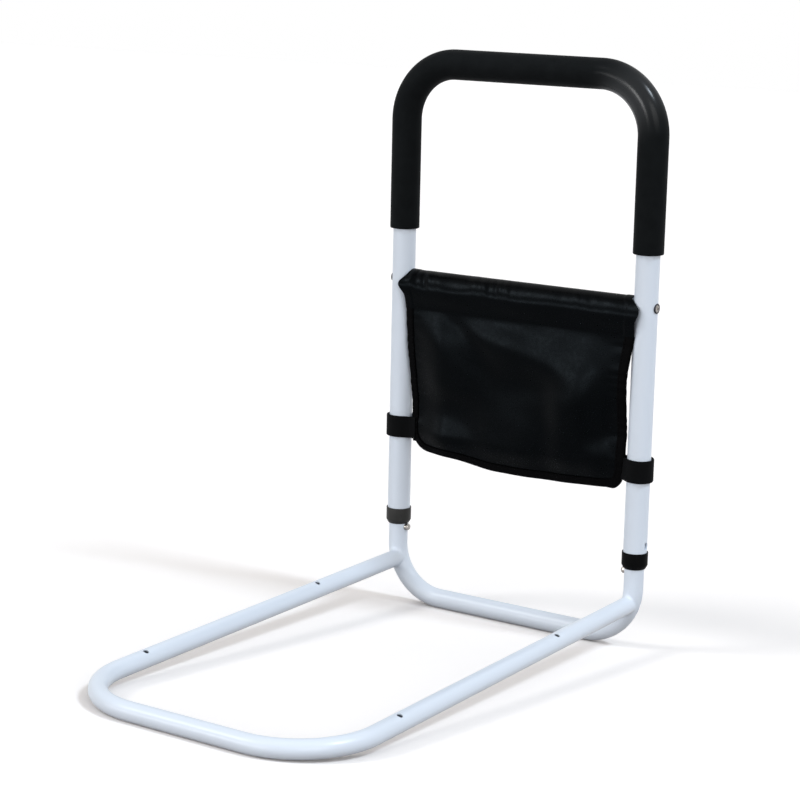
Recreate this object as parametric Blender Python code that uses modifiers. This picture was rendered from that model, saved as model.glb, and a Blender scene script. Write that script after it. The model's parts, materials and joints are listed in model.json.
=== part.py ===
"""Bed rail: a padded tube handle that slides on a base frame, with a hanging pouch.

The rail is modelled in a design frame: +Z runs up along the legs, -Y along the base rails,
and the origin lies midway between the legs, level with the rails. One empty, the stance,
then tips the whole rail on to the floor, so that it stands on its two cross bars.
"""

import math

import bmesh
import bpy
from mathutils import Matrix, Vector

# Fits and section counts
TOUCH_GAP = 0.0003               # left between pieces that touch
SLIDE_CLEARANCE = 0.00055        # radial play of a lower leg inside an upper leg
TUBE_SIDES = 24                  # facets round the frame tubes, a multiple of 4
SMALL_SIDES = 16                 # facets round the small turned pieces
BEND_STEPS = 8                   # straight steps in a quarter bend

# Frame tubes
LEG_SPACING = 0.302
UPPER_TUBE_DIAMETER = 0.0254
UPPER_TUBE_WALL = 0.0015
LOWER_TUBE_WALL = 0.0015
BASE_TUBE_DIAMETER = 0.019
BASE_TUBE_WALL = 0.0012
HANDLE_BEND_RADIUS = 0.062
LOWER_BEND_RADIUS = 0.057
BASE_BEND_RADIUS = 0.083
LOWER_BAR_DROP = 0.040           # lower cross bar below the level of the rails
BASE_REACH = 0.572               # from the legs to the far cross bar

# Heights up the legs, each measured from the one before
BUTTON_HEIGHT = 0.0361           # snap button above the rails
ENGAGED_LENGTH = 0.210           # lower leg inside the upper leg at the lowest setting
CROSSBAR_ABOVE_LEGS = 0.0716     # crossbar above the tops of the lower legs
GRIP_ABOVE_CROSSBAR = 0.056
GRIP_LEG_LENGTH = 0.182          # from the grip's ends up to the top bar

# Holes in the tubes
RAIL_HOLE_DIAMETER = 0.0055
RAIL_HOLE_FROM_LEGS = 0.170
RAIL_HOLE_FROM_FAR_BAR = 0.115
SIDE_HOLE_DIAMETER = 0.008       # outer side of each upper leg
SIDE_HOLE_ABOVE_COLLAR = 0.0074
SETTING_PITCH = 0.025            # height settings, one button hole for each
SETTING_COUNT = 4

# Grip, collars and leg plugs
FOAM_WALL = 0.00325
COLLAR_WALL = 0.001
COLLAR_LENGTH = 0.0182
COLLAR_LIP = 0.003               # floor of the collar, under the tube's end
COLLAR_CHAMFER_HEIGHT = 0.004
COLLAR_FOOT_WALL = 0.0006
PLUG_FLANGE = 0.003
PLUG_SPIGOT = 0.014

# Snap buttons and their springs
BUTTON_DIAMETER = 0.008
BUTTON_PROUD = 0.0047            # tip above the lower leg's surface
BUTTON_DOME_HEIGHT = 0.0033
BUTTON_FLANGE_DIAMETER = 0.010
BUTTON_FLANGE_THICKNESS = 0.001
SPRING_THICKNESS = 0.0005
SPRING_WIDTH = 0.0075
SPRING_LENGTH = 0.046            # from the button up to the fold
SPRING_TAIL = 0.0085             # below the button
SPRING_FOLD_RADIUS = 0.002
SPRING_BEND_RADIUS = 0.023       # where each leaf turns towards the fold

# Welds between the rails and the lower frame
WELD_RADIUS = 0.0015

# Crossbar and its fasteners
CROSSBAR_DIAMETER = 0.019
CROSSBAR_WALL = 0.0012
INSERT_LENGTH = 0.018
SCREW_DIAMETER = 0.005
SCREW_GRIP = 0.012               # screw inside the insert
SCREW_HEAD_DIAMETER = 0.0072
SCREW_DOME_HEIGHT = 0.0013
SOCKET_ACROSS = 0.003
SOCKET_DEPTH = 0.0012
WASHER_DIAMETER = 0.011
WASHER_RIM = 0.0018              # washer's rim above the leg's surface

# Pouch
CLOTH = 0.0012
TAPE = 0.0008
POUCH_LEAN = math.radians(3.4)   # the panel's foot lies behind its top
SEAM_BELOW_CROSSBAR = 0.0305
SLEEVE_LAP = 0.010               # panel held between the sleeve's two layers
SLEEVE_END_GAP = 0.0012          # from the sleeve's ends to the legs
POUCH_HEIGHT = 0.1715            # from the seam to the lowest point of the foot
POUCH_SAG = 0.0055               # the foot's middle below its ends
POUCH_SIDE_GAP = 0.0033          # from the pouch's lower sides to the legs
POUCH_FLARE = 0.0037             # extra half width at the top
POUCH_CORNER = 0.024
SAG_RADIUS = 0.5
EAR_REACH = 0.0105               # sleeve's ears past the pouch's sides
EAR_TAPER = 0.45
BINDING_WIDTH = 0.009
POCKET_MOUTH_BELOW_SEAM = 0.030
POCKET_DEPTH = 0.018
POCKET_SLOPE = 0.024             # width over which the pocket rises
POCKET_STEPS = 4
HEM_RADIUS = 0.0015

# Straps
STRAP_ABOVE_FOOT = 0.030         # strap's middle above the pouch's lowest point
STRAP_WIDTH = 0.0245
STRAP_LAP = 0.008                # strap over the pouch's binding
PATCH_THICKNESS = 0.001

# Radii that follow from the tubes
UPPER_RADIUS = UPPER_TUBE_DIAMETER / 2
UPPER_BORE = UPPER_RADIUS - UPPER_TUBE_WALL
LOWER_RADIUS = UPPER_BORE - SLIDE_CLEARANCE
LOWER_BORE = LOWER_RADIUS - LOWER_TUBE_WALL
BASE_RADIUS = BASE_TUBE_DIAMETER / 2
CROSSBAR_RADIUS = CROSSBAR_DIAMETER / 2
FLAT = math.cos(math.pi / TUBE_SIDES)     # a facet's distance from the axis, per unit radius

# Heights that follow from one another
BUTTON_RADIUS = BUTTON_DIAMETER / 2
COLLAR_BOTTOM = BUTTON_HEIGHT + BUTTON_RADIUS + TOUCH_GAP
COLLAR_TOP = COLLAR_BOTTOM + COLLAR_LENGTH
UPPER_LEG_END = COLLAR_BOTTOM + COLLAR_LIP + TOUCH_GAP
LOWER_LEG_TOP = COLLAR_BOTTOM + ENGAGED_LENGTH
CROSSBAR_HEIGHT = LOWER_LEG_TOP + CROSSBAR_ABOVE_LEGS
GRIP_END = CROSSBAR_HEIGHT + GRIP_ABOVE_CROSSBAR
HANDLE_HEIGHT = GRIP_END + GRIP_LEG_LENGTH
SEAM_HEIGHT = CROSSBAR_HEIGHT - SEAM_BELOW_CROSSBAR
STRAP_HEIGHT = SEAM_HEIGHT - POUCH_HEIGHT + STRAP_ABOVE_FOOT

# Places across and along the rail
LEG_X = LEG_SPACING / 2
BEND_RISE = LOWER_BEND_RADIUS - LOWER_BAR_DROP
RAIL_X = LEG_X - LOWER_BEND_RADIUS + math.sqrt(LOWER_BEND_RADIUS ** 2 - BEND_RISE ** 2)
CLOTH_STEP = CLOTH + TOUCH_GAP            # one layer of cloth to the next
PANEL_Y = -(UPPER_RADIUS + TOUCH_GAP + CLOTH / 2) + CLOTH_STEP
POUCH_HALF_FOOT = LEG_X - UPPER_RADIUS - POUCH_SIDE_GAP
POUCH_HALF_TOP = POUCH_HALF_FOOT + POUCH_FLARE

# The tilt at which facets of both cross bars lie flat on the floor
STANCE_TILT = (math.atan2(LOWER_BAR_DROP, BASE_REACH)
               + math.asin((LOWER_RADIUS - BASE_RADIUS) * FLAT / math.hypot(LOWER_BAR_DROP, BASE_REACH)))
SECTION_TURN = math.pi / TUBE_SIDES - STANCE_TILT
STANCE_LIFT = LOWER_BAR_DROP * math.cos(STANCE_TILT) + LOWER_RADIUS * FLAT
BACK_END = LOWER_BAR_DROP * math.sin(STANCE_TILT) + LOWER_RADIUS * FLAT
FAR_END = BASE_REACH * math.cos(STANCE_TILT) + BASE_RADIUS * FLAT
STANCE_SHIFT = (FAR_END - BACK_END) / 2

SIDES = {"left": -1, "right": 1}
WELD_DISTANCE = 0.00001          # vertices closer than this are one


def clear_scene():
    for obj in list(bpy.data.objects):
        bpy.data.objects.remove(obj, do_unlink=True)


def new_collection(name):
    collection = bpy.data.collections.new(name)
    bpy.context.scene.collection.children.link(collection)
    return collection


def new_material(name, colour, roughness, metallic=0.0):
    material = bpy.data.materials.new(name)
    material.use_nodes = True
    shader = material.node_tree.nodes["Principled BSDF"]
    shader.inputs["Base Color"].default_value = (*colour, 1.0)
    shader.inputs["Roughness"].default_value = roughness
    shader.inputs["Metallic"].default_value = metallic
    return material


def new_empty(name, parent=None):
    empty = bpy.data.objects.new(name, None)
    empty.empty_display_size = 0.03
    empty.parent = parent
    PARTS.objects.link(empty)
    return empty


def add_part(name, mesh, finish, parent):
    """Give a mesh its object, its own material and smooth shading."""
    colour, roughness, metallic = finish
    mesh.name = name
    mesh.materials.clear()
    mesh.materials.append(new_material(name, colour, roughness, metallic))
    mesh.shade_smooth()
    mesh.set_sharp_from_angle(angle=math.radians(32))
    part = bpy.data.objects.new(name, mesh)
    part.parent = parent
    PARTS.objects.link(part)
    return part


def add_cutter(name, mesh, parent):
    cutter = bpy.data.objects.new(name, mesh)
    cutter.parent = parent
    cutter.hide_render = True
    cutter.display_type = "WIRE"
    CUTTERS.objects.link(cutter)
    return cutter


def cut(part, cutter):
    step = part.modifiers.new(cutter.name, "BOOLEAN")
    step.operation = "DIFFERENCE"
    step.solver = "EXACT"
    step.object = cutter


def add_wall(part, thickness, offset):
    """Turn an open surface into a wall: offset -1 grows it inwards, 0 both ways."""
    wall = part.modifiers.new("wall", "SOLIDIFY")
    wall.thickness = thickness
    wall.offset = offset
    wall.use_even_offset = True


def evaluated_mesh(holder):
    """Mesh of a curve object with its caps welded on; the curve is removed."""
    bpy.context.scene.collection.objects.link(holder)
    bpy.context.view_layer.update()
    graph = bpy.context.evaluated_depsgraph_get()
    mesh = bpy.data.meshes.new_from_object(holder.evaluated_get(graph))
    weld_vertices(mesh)
    bpy.data.objects.remove(holder, do_unlink=True)
    return mesh


def weld_vertices(mesh):
    shape = bmesh.new()
    shape.from_mesh(mesh)
    bmesh.ops.remove_doubles(shape, verts=shape.verts, dist=WELD_DISTANCE)
    shape.to_mesh(mesh)
    shape.free()


def poly_spline(curve, path, closed):
    spline = curve.splines.new("POLY")
    spline.points.add(len(path) - 1)
    for point, place in zip(spline.points, path):
        point.co = (*place, 1.0)
    spline.use_cyclic_u = closed
    return spline


def swept_mesh(name, path, radius, sides=TUBE_SIDES, capped=False, closed=False, turn=0.0):
    """Round section with the given number of sides, carried along a path."""
    curve = bpy.data.curves.new(name, "CURVE")
    curve.dimensions = "3D"
    curve.bevel_depth = radius
    curve.bevel_resolution = sides // 2 - 2
    curve.use_fill_caps = capped
    spline = poly_spline(curve, path, closed)
    for point in spline.points:
        point.tilt = turn
    return evaluated_mesh(bpy.data.objects.new(name, curve))


def plate_mesh(name, outline, thickness, back=0.0):
    """Flat plate in the XZ plane, centred at Y = back, from a closed outline of (x, z)."""
    curve = bpy.data.curves.new(name, "CURVE")
    curve.dimensions = "2D"
    curve.fill_mode = "BOTH"
    curve.extrude = thickness / 2
    poly_spline(curve, [(x, z, 0.0) for x, z in outline], True)
    mesh = evaluated_mesh(bpy.data.objects.new(name, curve))
    mesh.transform(Matrix.Translation((0, back, 0)) @ Matrix.Rotation(math.pi / 2, 4, "X"))
    return mesh


def ribbon_mesh(name, path, width):
    """Open strip that follows a path of (x, y) and stands along Z."""
    curve = bpy.data.curves.new(name, "CURVE")
    curve.dimensions = "3D"
    curve.extrude = width / 2
    poly_spline(curve, [(x, y, 0.0) for x, y in path], False)
    return evaluated_mesh(bpy.data.objects.new(name, curve))


def turned_part(name, profile, finish, parent, ring=False, sides=SMALL_SIDES):
    """Turn a profile of (radius, z) about Z; it runs down the outer side, top to bottom."""
    shape = bmesh.new()
    points = [shape.verts.new((radius, 0.0, z)) for radius, z in profile]
    for first, second in zip(points, points[1:]):
        shape.edges.new((first, second))
    if ring:
        shape.edges.new((points[-1], points[0]))
    mesh = bpy.data.meshes.new(name)
    shape.to_mesh(mesh)
    shape.free()
    part = add_part(name, mesh, finish, parent)
    turning = part.modifiers.new("turning", "SCREW")
    turning.angle = 2 * math.pi
    turning.steps = sides
    turning.render_steps = sides
    turning.use_merge_vertices = True
    turning.merge_threshold = WELD_DISTANCE
    turning.use_smooth_shade = True
    return part


def cylinder_cutter(name, radius, start, end, parent, sides=SMALL_SIDES):
    """Closed cylinder between two points, wide enough that its facets clear the radius."""
    span = Vector(end) - Vector(start)
    turn = span.to_track_quat("Z", "Y").to_matrix().to_4x4()
    place = Matrix.Translation((Vector(start) + Vector(end)) / 2)
    shape = bmesh.new()
    outer = radius / math.cos(math.pi / sides)
    bmesh.ops.create_cone(shape, cap_ends=True, segments=sides, radius1=outer, radius2=outer,
                          depth=span.length, matrix=place @ turn)
    mesh = bpy.data.meshes.new(name)
    shape.to_mesh(mesh)
    shape.free()
    return add_cutter(name, mesh, parent)


def rounded_path(corners, radii, steps=BEND_STEPS):
    """Path through corners whose inner ones are rounded, each with its own radius."""
    places = [Vector(corner) for corner in corners]
    path = [places[0]]
    for before, corner, after, radius in zip(places, places[1:], places[2:], radii):
        path += bend_points(before, corner, after, radius, steps)
    path.append(places[-1])
    return path


def bend_points(before, corner, after, radius, steps):
    """Points of the arc that rounds one corner."""
    inward = (before - corner).normalized()
    outward = (after - corner).normalized()
    half = inward.angle(outward) / 2
    centre = corner + (inward + outward).normalized() * (radius / math.sin(half))
    first = corner + inward * (radius / math.tan(half)) - centre
    last = corner + outward * (radius / math.tan(half)) - centre
    sweep = math.pi - 2 * half
    return [centre + (first * math.sin(sweep * (1 - part / steps))
                      + last * math.sin(sweep * part / steps)) / math.sin(sweep)
            for part in range(steps + 1)]


def arc_points(centre, radius, start, end, steps):
    """Points (x, y) on an arc, both ends included; angles in radians."""
    return [(centre[0] + radius * math.cos(start + (end - start) * part / steps),
             centre[1] + radius * math.sin(start + (end - start) * part / steps))
            for part in range(steps + 1)]


def tangent_angle(point, centre, radius, way):
    """Angle on a circle at which the line from an outside point touches it."""
    away = math.atan2(point[1] - centre[1], point[0] - centre[0])
    distance = math.hypot(point[0] - centre[0], point[1] - centre[1])
    return away + way * math.acos(min(1.0, radius / distance))


# Finishes: colour, roughness, metallic
WHITE_PAINT = ((0.78, 0.81, 0.86), 0.35, 0.0)
BLACK_FOAM = ((0.012, 0.014, 0.017), 0.75, 0.0)
GREY_PLASTIC = ((0.03, 0.03, 0.028), 0.5, 0.0)
STEEL = ((0.62, 0.61, 0.58), 0.3, 1.0)
DARK_STEEL = ((0.06, 0.06, 0.07), 0.45, 1.0)
SPRING_STEEL = ((0.4, 0.4, 0.42), 0.35, 1.0)
BLACK_CLOTH = ((0.006, 0.007, 0.008), 0.6, 0.0)
BLACK_TAPE = ((0.005, 0.005, 0.006), 0.8, 0.0)


def handle_path(leg_end):
    """Path of the handle: up one leg, over the top bar and down the other."""
    corners = [(-LEG_X, 0, leg_end), (-LEG_X, 0, HANDLE_HEIGHT),
               (LEG_X, 0, HANDLE_HEIGHT), (LEG_X, 0, leg_end)]
    return rounded_path(corners, [HANDLE_BEND_RADIUS] * 2)


def lower_path():
    """Path of the lower frame: down one leg, along the lower bar and up the other."""
    corners = [(-LEG_X, 0, LOWER_LEG_TOP), (-LEG_X, 0, -LOWER_BAR_DROP),
               (LEG_X, 0, -LOWER_BAR_DROP), (LEG_X, 0, LOWER_LEG_TOP)]
    return rounded_path(corners, [LOWER_BEND_RADIUS] * 2)


def base_path():
    """Path of the base: out along one rail, across the far bar and back."""
    corners = [(-RAIL_X, 0, 0), (-RAIL_X, -BASE_REACH, 0),
               (RAIL_X, -BASE_REACH, 0), (RAIL_X, 0, 0)]
    return rounded_path(corners, [BASE_BEND_RADIUS] * 2)


def build_upper_frame(body):
    mesh = swept_mesh("upper_frame_tube", handle_path(UPPER_LEG_END), UPPER_RADIUS)
    frame = add_part("upper_frame_tube", mesh, WHITE_PAINT, body)
    add_wall(frame, UPPER_TUBE_WALL, -1)
    screw_hole = SCREW_DIAMETER / 2 + TOUCH_GAP
    side_hole_z = COLLAR_TOP + SIDE_HOLE_ABOVE_COLLAR
    for side, way in SIDES.items():
        leg = way * LEG_X
        through = way * 2 * UPPER_RADIUS
        cut(frame, cylinder_cutter(side + "_screw_hole", screw_hole,
                                   (leg - through, 0, CROSSBAR_HEIGHT),
                                   (leg + through, 0, CROSSBAR_HEIGHT), body))
        cut(frame, cylinder_cutter(side + "_side_hole", SIDE_HOLE_DIAMETER / 2,
                                   (leg, 0, side_hole_z), (leg + through, 0, side_hole_z), body))


def build_grip(body):
    outer = UPPER_RADIUS + TOUCH_GAP + FOAM_WALL
    mesh = swept_mesh("foam_grip", handle_path(GRIP_END), outer)
    grip = add_part("foam_grip", mesh, BLACK_FOAM, body)
    add_wall(grip, FOAM_WALL, -1)


def build_collars(body):
    outer = UPPER_RADIUS + TOUCH_GAP + COLLAR_WALL
    foot_bore = LOWER_RADIUS + SLIDE_CLEARANCE
    profile = [(outer, COLLAR_TOP),
               (outer, COLLAR_BOTTOM + COLLAR_CHAMFER_HEIGHT),
               (foot_bore + COLLAR_FOOT_WALL, COLLAR_BOTTOM),
               (foot_bore, COLLAR_BOTTOM),
               (foot_bore, COLLAR_BOTTOM + COLLAR_LIP),
               (UPPER_RADIUS + TOUCH_GAP, COLLAR_BOTTOM + COLLAR_LIP),
               (UPPER_RADIUS + TOUCH_GAP, COLLAR_TOP)]
    for side, way in SIDES.items():
        collar = turned_part(side + "_collar", profile, GREY_PLASTIC, body, True, TUBE_SIDES)
        collar.location = (way * LEG_X, 0, 0)


def build_lower_frame(body):
    mesh = swept_mesh("lower_frame_tube", lower_path(), LOWER_RADIUS, turn=SECTION_TURN)
    frame = add_part("lower_frame_tube", mesh, WHITE_PAINT, body)
    add_wall(frame, LOWER_TUBE_WALL, -1)
    for side, way in SIDES.items():
        leg = way * LEG_X
        for setting in range(SETTING_COUNT + 1):
            height = BUTTON_HEIGHT + setting * SETTING_PITCH
            cut(frame, cylinder_cutter(f"{side}_button_hole_{setting}", BUTTON_RADIUS + TOUCH_GAP,
                                       (leg, 0, height), (leg - way * 2 * LOWER_RADIUS, 0, height),
                                       body))


def build_leg_plugs(body):
    flange = UPPER_BORE * FLAT - TOUCH_GAP
    spigot = LOWER_BORE * FLAT - TOUCH_GAP
    foot = LOWER_LEG_TOP + TOUCH_GAP
    profile = [(0, foot + PLUG_FLANGE), (flange, foot + PLUG_FLANGE), (flange, foot),
               (spigot, foot), (spigot, foot - PLUG_SPIGOT), (0, foot - PLUG_SPIGOT)]
    for side, way in SIDES.items():
        plug = turned_part(side + "_leg_plug", profile, GREY_PLASTIC, body, sides=TUBE_SIDES)
        plug.location = (way * LEG_X, 0, 0)


def build_base(body):
    mesh = swept_mesh("base_frame_tube", base_path(), BASE_RADIUS, turn=SECTION_TURN)
    base = add_part("base_frame_tube", mesh, WHITE_PAINT, body)
    add_wall(base, BASE_TUBE_WALL, -1)
    envelope = swept_mesh("leg_envelope", lower_path(), LOWER_RADIUS + TOUCH_GAP,
                          capped=True, turn=SECTION_TURN)
    cut(base, add_cutter("leg_envelope", envelope, body))
    for side, way in SIDES.items():
        for number, y in enumerate((-RAIL_HOLE_FROM_LEGS, RAIL_HOLE_FROM_FAR_BAR - BASE_REACH)):
            rail = way * RAIL_X
            cut(base, cylinder_cutter(f"{side}_rail_hole_{number}", RAIL_HOLE_DIAMETER / 2,
                                      (rail, y, 0), (rail, y, 2 * BASE_RADIUS), body))


def weld_path(way):
    """Closed path of a bead that lies against both the rail and the lower frame's bend."""
    from_rail = BASE_RADIUS + WELD_RADIUS + TOUCH_GAP
    from_leg = LOWER_RADIUS + WELD_RADIUS + TOUCH_GAP
    bend_x = LEG_X - LOWER_BEND_RADIUS
    path = []
    for step in range(TUBE_SIDES):
        angle = 2 * math.pi * step / TUBE_SIDES
        x = RAIL_X + from_rail * math.cos(angle)
        z = from_rail * math.sin(angle)
        offset = math.hypot(x - bend_x, z - BEND_RISE) - LOWER_BEND_RADIUS
        path.append((way * x, -math.sqrt(max(from_leg ** 2 - offset ** 2, 0)), z))
    return path


def build_base_welds(body):
    for side, way in SIDES.items():
        mesh = swept_mesh(side + "_base_weld", weld_path(way), WELD_RADIUS, 8, closed=True)
        add_part(side + "_base_weld", mesh, WHITE_PAINT, body)


def flange_face():
    """Distance from the leg's axis at which the button's flange meets the leg's bore."""
    return math.sqrt((LOWER_BORE * FLAT) ** 2 - (BUTTON_FLANGE_DIAMETER / 2) ** 2) - TOUCH_GAP


def button_profile():
    """Dome, shank and flange, turned about the button's own axis."""
    tip = LOWER_RADIUS + BUTTON_PROUD
    dome = [(BUTTON_RADIUS * math.sin(math.pi / 2 * part / 5),
             tip - BUTTON_DOME_HEIGHT * (1 - math.cos(math.pi / 2 * part / 5)))
            for part in range(6)]
    face = flange_face()
    back = face - BUTTON_FLANGE_THICKNESS
    flange = BUTTON_FLANGE_DIAMETER / 2
    return dome + [(BUTTON_RADIUS, face), (flange, face), (flange, back), (0, back)]


def build_snap_buttons(bodies):
    for side, way in SIDES.items():
        button = turned_part(side + "_snap_button", button_profile(), STEEL, bodies[side])
        button.rotation_euler = (0, -way * math.pi / 2, 0)


def build_snap_springs(body):
    """Leaf springs folded like a V: one leaf behind the button, the other on the far wall."""
    half = SPRING_THICKNESS / 2
    near = flange_face() - BUTTON_FLANGE_THICKNESS - TOUCH_GAP - half
    far = math.sqrt((LOWER_BORE * FLAT) ** 2 - (SPRING_WIDTH / 2) ** 2) - TOUCH_GAP - half
    corners = [(near, -SPRING_TAIL / 2, 0), (near, BUTTON_FLANGE_DIAMETER / 2, 0),
               (0, SPRING_LENGTH, 0), (-far, BUTTON_FLANGE_DIAMETER, 0), (-far, -SPRING_TAIL, 0)]
    radii = [SPRING_BEND_RADIUS, SPRING_FOLD_RADIUS, SPRING_BEND_RADIUS]
    path = rounded_path(corners, radii, 6)
    for side, way in SIDES.items():
        mesh = ribbon_mesh(side + "_snap_spring", [(point.x, point.y) for point in path], SPRING_WIDTH)
        spring = add_part(side + "_snap_spring", mesh, SPRING_STEEL, body)
        add_wall(spring, SPRING_THICKNESS, 0)
        spring.rotation_euler = (math.pi / 2, 0, 0 if way < 0 else math.pi)
        spring.location = (way * LEG_X, 0, BUTTON_HEIGHT)


def build_crossbar(body):
    """Rod between the legs, its ends coped to them, with a threaded insert in each end."""
    path = [(-LEG_X, 0, CROSSBAR_HEIGHT), (LEG_X, 0, CROSSBAR_HEIGHT)]
    bar = add_part("crossbar", swept_mesh("crossbar", path, CROSSBAR_RADIUS), WHITE_PAINT, body)
    add_wall(bar, CROSSBAR_WALL, -1)
    insert_radius = (CROSSBAR_RADIUS - CROSSBAR_WALL) * FLAT - TOUCH_GAP
    reach = 2 * CROSSBAR_RADIUS
    inner_end = LEG_X - UPPER_RADIUS - INSERT_LENGTH
    for side, way in SIDES.items():
        leg = cylinder_cutter(side + "_leg_cope", UPPER_RADIUS + TOUCH_GAP,
                              (way * LEG_X, 0, CROSSBAR_HEIGHT - reach),
                              (way * LEG_X, 0, CROSSBAR_HEIGHT + reach), body, TUBE_SIDES)
        cut(bar, leg)
        mesh = swept_mesh(side + "_crossbar_insert",
                          [(way * inner_end, 0, CROSSBAR_HEIGHT), (way * LEG_X, 0, CROSSBAR_HEIGHT)],
                          insert_radius, SMALL_SIDES, capped=True)
        insert = add_part(side + "_crossbar_insert", mesh, DARK_STEEL, body)
        cut(insert, leg)
        cut(insert, cylinder_cutter(side + "_insert_thread", SCREW_DIAMETER / 2 + TOUCH_GAP,
                                    (way * (inner_end - reach), 0, CROSSBAR_HEIGHT),
                                    (way * (LEG_X + reach), 0, CROSSBAR_HEIGHT), body))


def washer_profile():
    """Cup washer: z is measured out from the leg's surface along the screw."""
    bore = SCREW_DIAMETER / 2 + TOUCH_GAP
    cup = SCREW_HEAD_DIAMETER / 2 + TOUCH_GAP
    rim = WASHER_DIAMETER / 2
    foot = -(UPPER_RADIUS - math.sqrt(UPPER_RADIUS ** 2 - rim ** 2)) - TOUCH_GAP
    return [(cup, WASHER_RIM), (rim - WASHER_RIM / 2, WASHER_RIM), (rim, WASHER_RIM / 2),
            (rim, foot), (bore, foot), (bore, WASHER_RIM / 2)]


def screw_profile():
    """Raised head and shank: z is measured out from the leg's surface."""
    seat = WASHER_RIM + TOUCH_GAP
    head = SCREW_HEAD_DIAMETER / 2
    dome = [(head * math.sin(math.pi / 2 * part / 4),
             seat + SCREW_DOME_HEIGHT * math.cos(math.pi / 2 * part / 4))
            for part in range(5)]
    shank = SCREW_DIAMETER / 2
    tip = -(UPPER_TUBE_DIAMETER + SCREW_GRIP)
    return dome + [(shank, WASHER_RIM / 2 + TOUCH_GAP), (shank, tip), (0, tip - shank / 2)]


def build_crossbar_fasteners(body):
    socket = SOCKET_ACROSS / 2
    top = WASHER_RIM + TOUCH_GAP + SCREW_DOME_HEIGHT
    for side, way in SIDES.items():
        place = (way * (LEG_X + UPPER_RADIUS), 0, CROSSBAR_HEIGHT)
        outward = (0, way * math.pi / 2, 0)
        washer = turned_part(side + "_screw_washer", washer_profile(), DARK_STEEL, body, True)
        washer.location = place
        washer.rotation_euler = outward
        span = 2 * UPPER_RADIUS
        cut(washer, cylinder_cutter(side + "_leg_saddle", UPPER_RADIUS + TOUCH_GAP,
                                    (way * LEG_X, 0, CROSSBAR_HEIGHT - span),
                                    (way * LEG_X, 0, CROSSBAR_HEIGHT + span), body, 2 * TUBE_SIDES))
        screw = turned_part(side + "_crossbar_screw", screw_profile(), STEEL, body)
        screw.location = place
        screw.rotation_euler = outward
        face = place[0] + way * top
        cut(screw, cylinder_cutter(side + "_socket", socket,
                                   (face - way * SOCKET_DEPTH, 0, CROSSBAR_HEIGHT),
                                   (face + way * SOCKET_DEPTH, 0, CROSSBAR_HEIGHT), body, 6))


def pouch_side_path(inset, top):
    """Down the right side of the pouch, along its foot and up the left side, as (x, z)."""
    half_top = POUCH_HALF_TOP - inset
    half_foot = POUCH_HALF_FOOT - inset
    ends = POUCH_HEIGHT - POUCH_SAG - inset
    slope = (half_top - half_foot) / ends
    corner = max(POUCH_CORNER - inset, POUCH_CORNER / 3)
    corners = [(half_top + slope * top, top, 0), (half_foot, -ends, 0),
               (0, inset - POUCH_HEIGHT, 0),
               (-half_foot, -ends, 0), (-half_top - slope * top, top, 0)]
    path = rounded_path(corners, [corner, SAG_RADIUS, corner], 6)
    return [(point.x, point.y) for point in path]


def build_pouch_panel(hang):
    outline = pouch_side_path(TAPE + TOUCH_GAP, SLEEVE_LAP)
    add_part("pouch_back_panel", plate_mesh("pouch_back_panel", outline, CLOTH), BLACK_CLOTH, hang)


def pocket_ring(share):
    """One ring of the pocket panel, from its flat margin (0) to its full depth (1)."""
    inset = TAPE + TOUCH_GAP + BINDING_WIDTH + POCKET_SLOPE * share
    rise = POCKET_DEPTH * math.sin(math.pi / 2 * share)
    path = pouch_side_path(inset, -POCKET_MOUTH_BELOW_SEAM)
    return [(x, CLOTH_STEP + rise, z) for x, z in path]


def pocket_rings():
    """Flat margin under the binding, then the rising rings."""
    path = pouch_side_path(TAPE + TOUCH_GAP, -POCKET_MOUTH_BELOW_SEAM)
    margin = [(x, CLOTH_STEP, z) for x, z in path]
    return [margin] + [pocket_ring(step / POCKET_STEPS) for step in range(POCKET_STEPS + 1)]


def build_pocket_panel(hang):
    """Loft the rings together and close the flat middle; the mouth stays open."""
    shape = bmesh.new()
    rings = [[shape.verts.new(place) for place in ring] for ring in pocket_rings()]
    for outer, inner in zip(rings, rings[1:]):
        for index in range(len(outer) - 1):
            shape.faces.new((outer[index], inner[index], inner[index + 1], outer[index + 1]))
    shape.faces.new(rings[-1][::-1])
    bmesh.ops.recalc_face_normals(shape, faces=shape.faces)
    mesh = bpy.data.meshes.new("pouch_pocket_panel")
    shape.to_mesh(mesh)
    shape.free()
    panel = add_part("pouch_pocket_panel", mesh, BLACK_CLOTH, hang)
    add_wall(panel, CLOTH, 0)


def build_pocket_hem(hang):
    """Rolled hem along the pocket's mouth, from one flat margin to the other."""
    ends = [(ring[0][0], ring[0][1]) for ring in pocket_rings()[1:]]
    height = HEM_RADIUS + TOUCH_GAP - POCKET_MOUTH_BELOW_SEAM
    right = [(x, y, height) for x, y in ends]
    left = [(-x, y, height) for x, y in reversed(ends)]
    mesh = swept_mesh("pouch_pocket_hem", right + left, HEM_RADIUS, 8, capped=True)
    add_part("pouch_pocket_hem", mesh, BLACK_TAPE, hang)


def build_binding(hang):
    """Tape folded over the edges of both panels: a rim with a slot and a window cut out."""
    slot = 2 * CLOTH + 3 * TOUCH_GAP
    middle = CLOTH_STEP / 2
    rim = plate_mesh("pouch_binding", pouch_side_path(0, -TOUCH_GAP), slot + 2 * TAPE, middle)
    binding = add_part("pouch_binding", rim, BLACK_TAPE, hang)
    above = SLEEVE_LAP
    cut(binding, add_cutter("binding_slot", plate_mesh("binding_slot", pouch_side_path(TAPE, above),
                                                       slot, middle), hang))
    cut(binding, add_cutter("binding_window",
                            plate_mesh("binding_window", pouch_side_path(BINDING_WIDTH, above),
                                       2 * POCKET_DEPTH, middle), hang))


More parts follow.
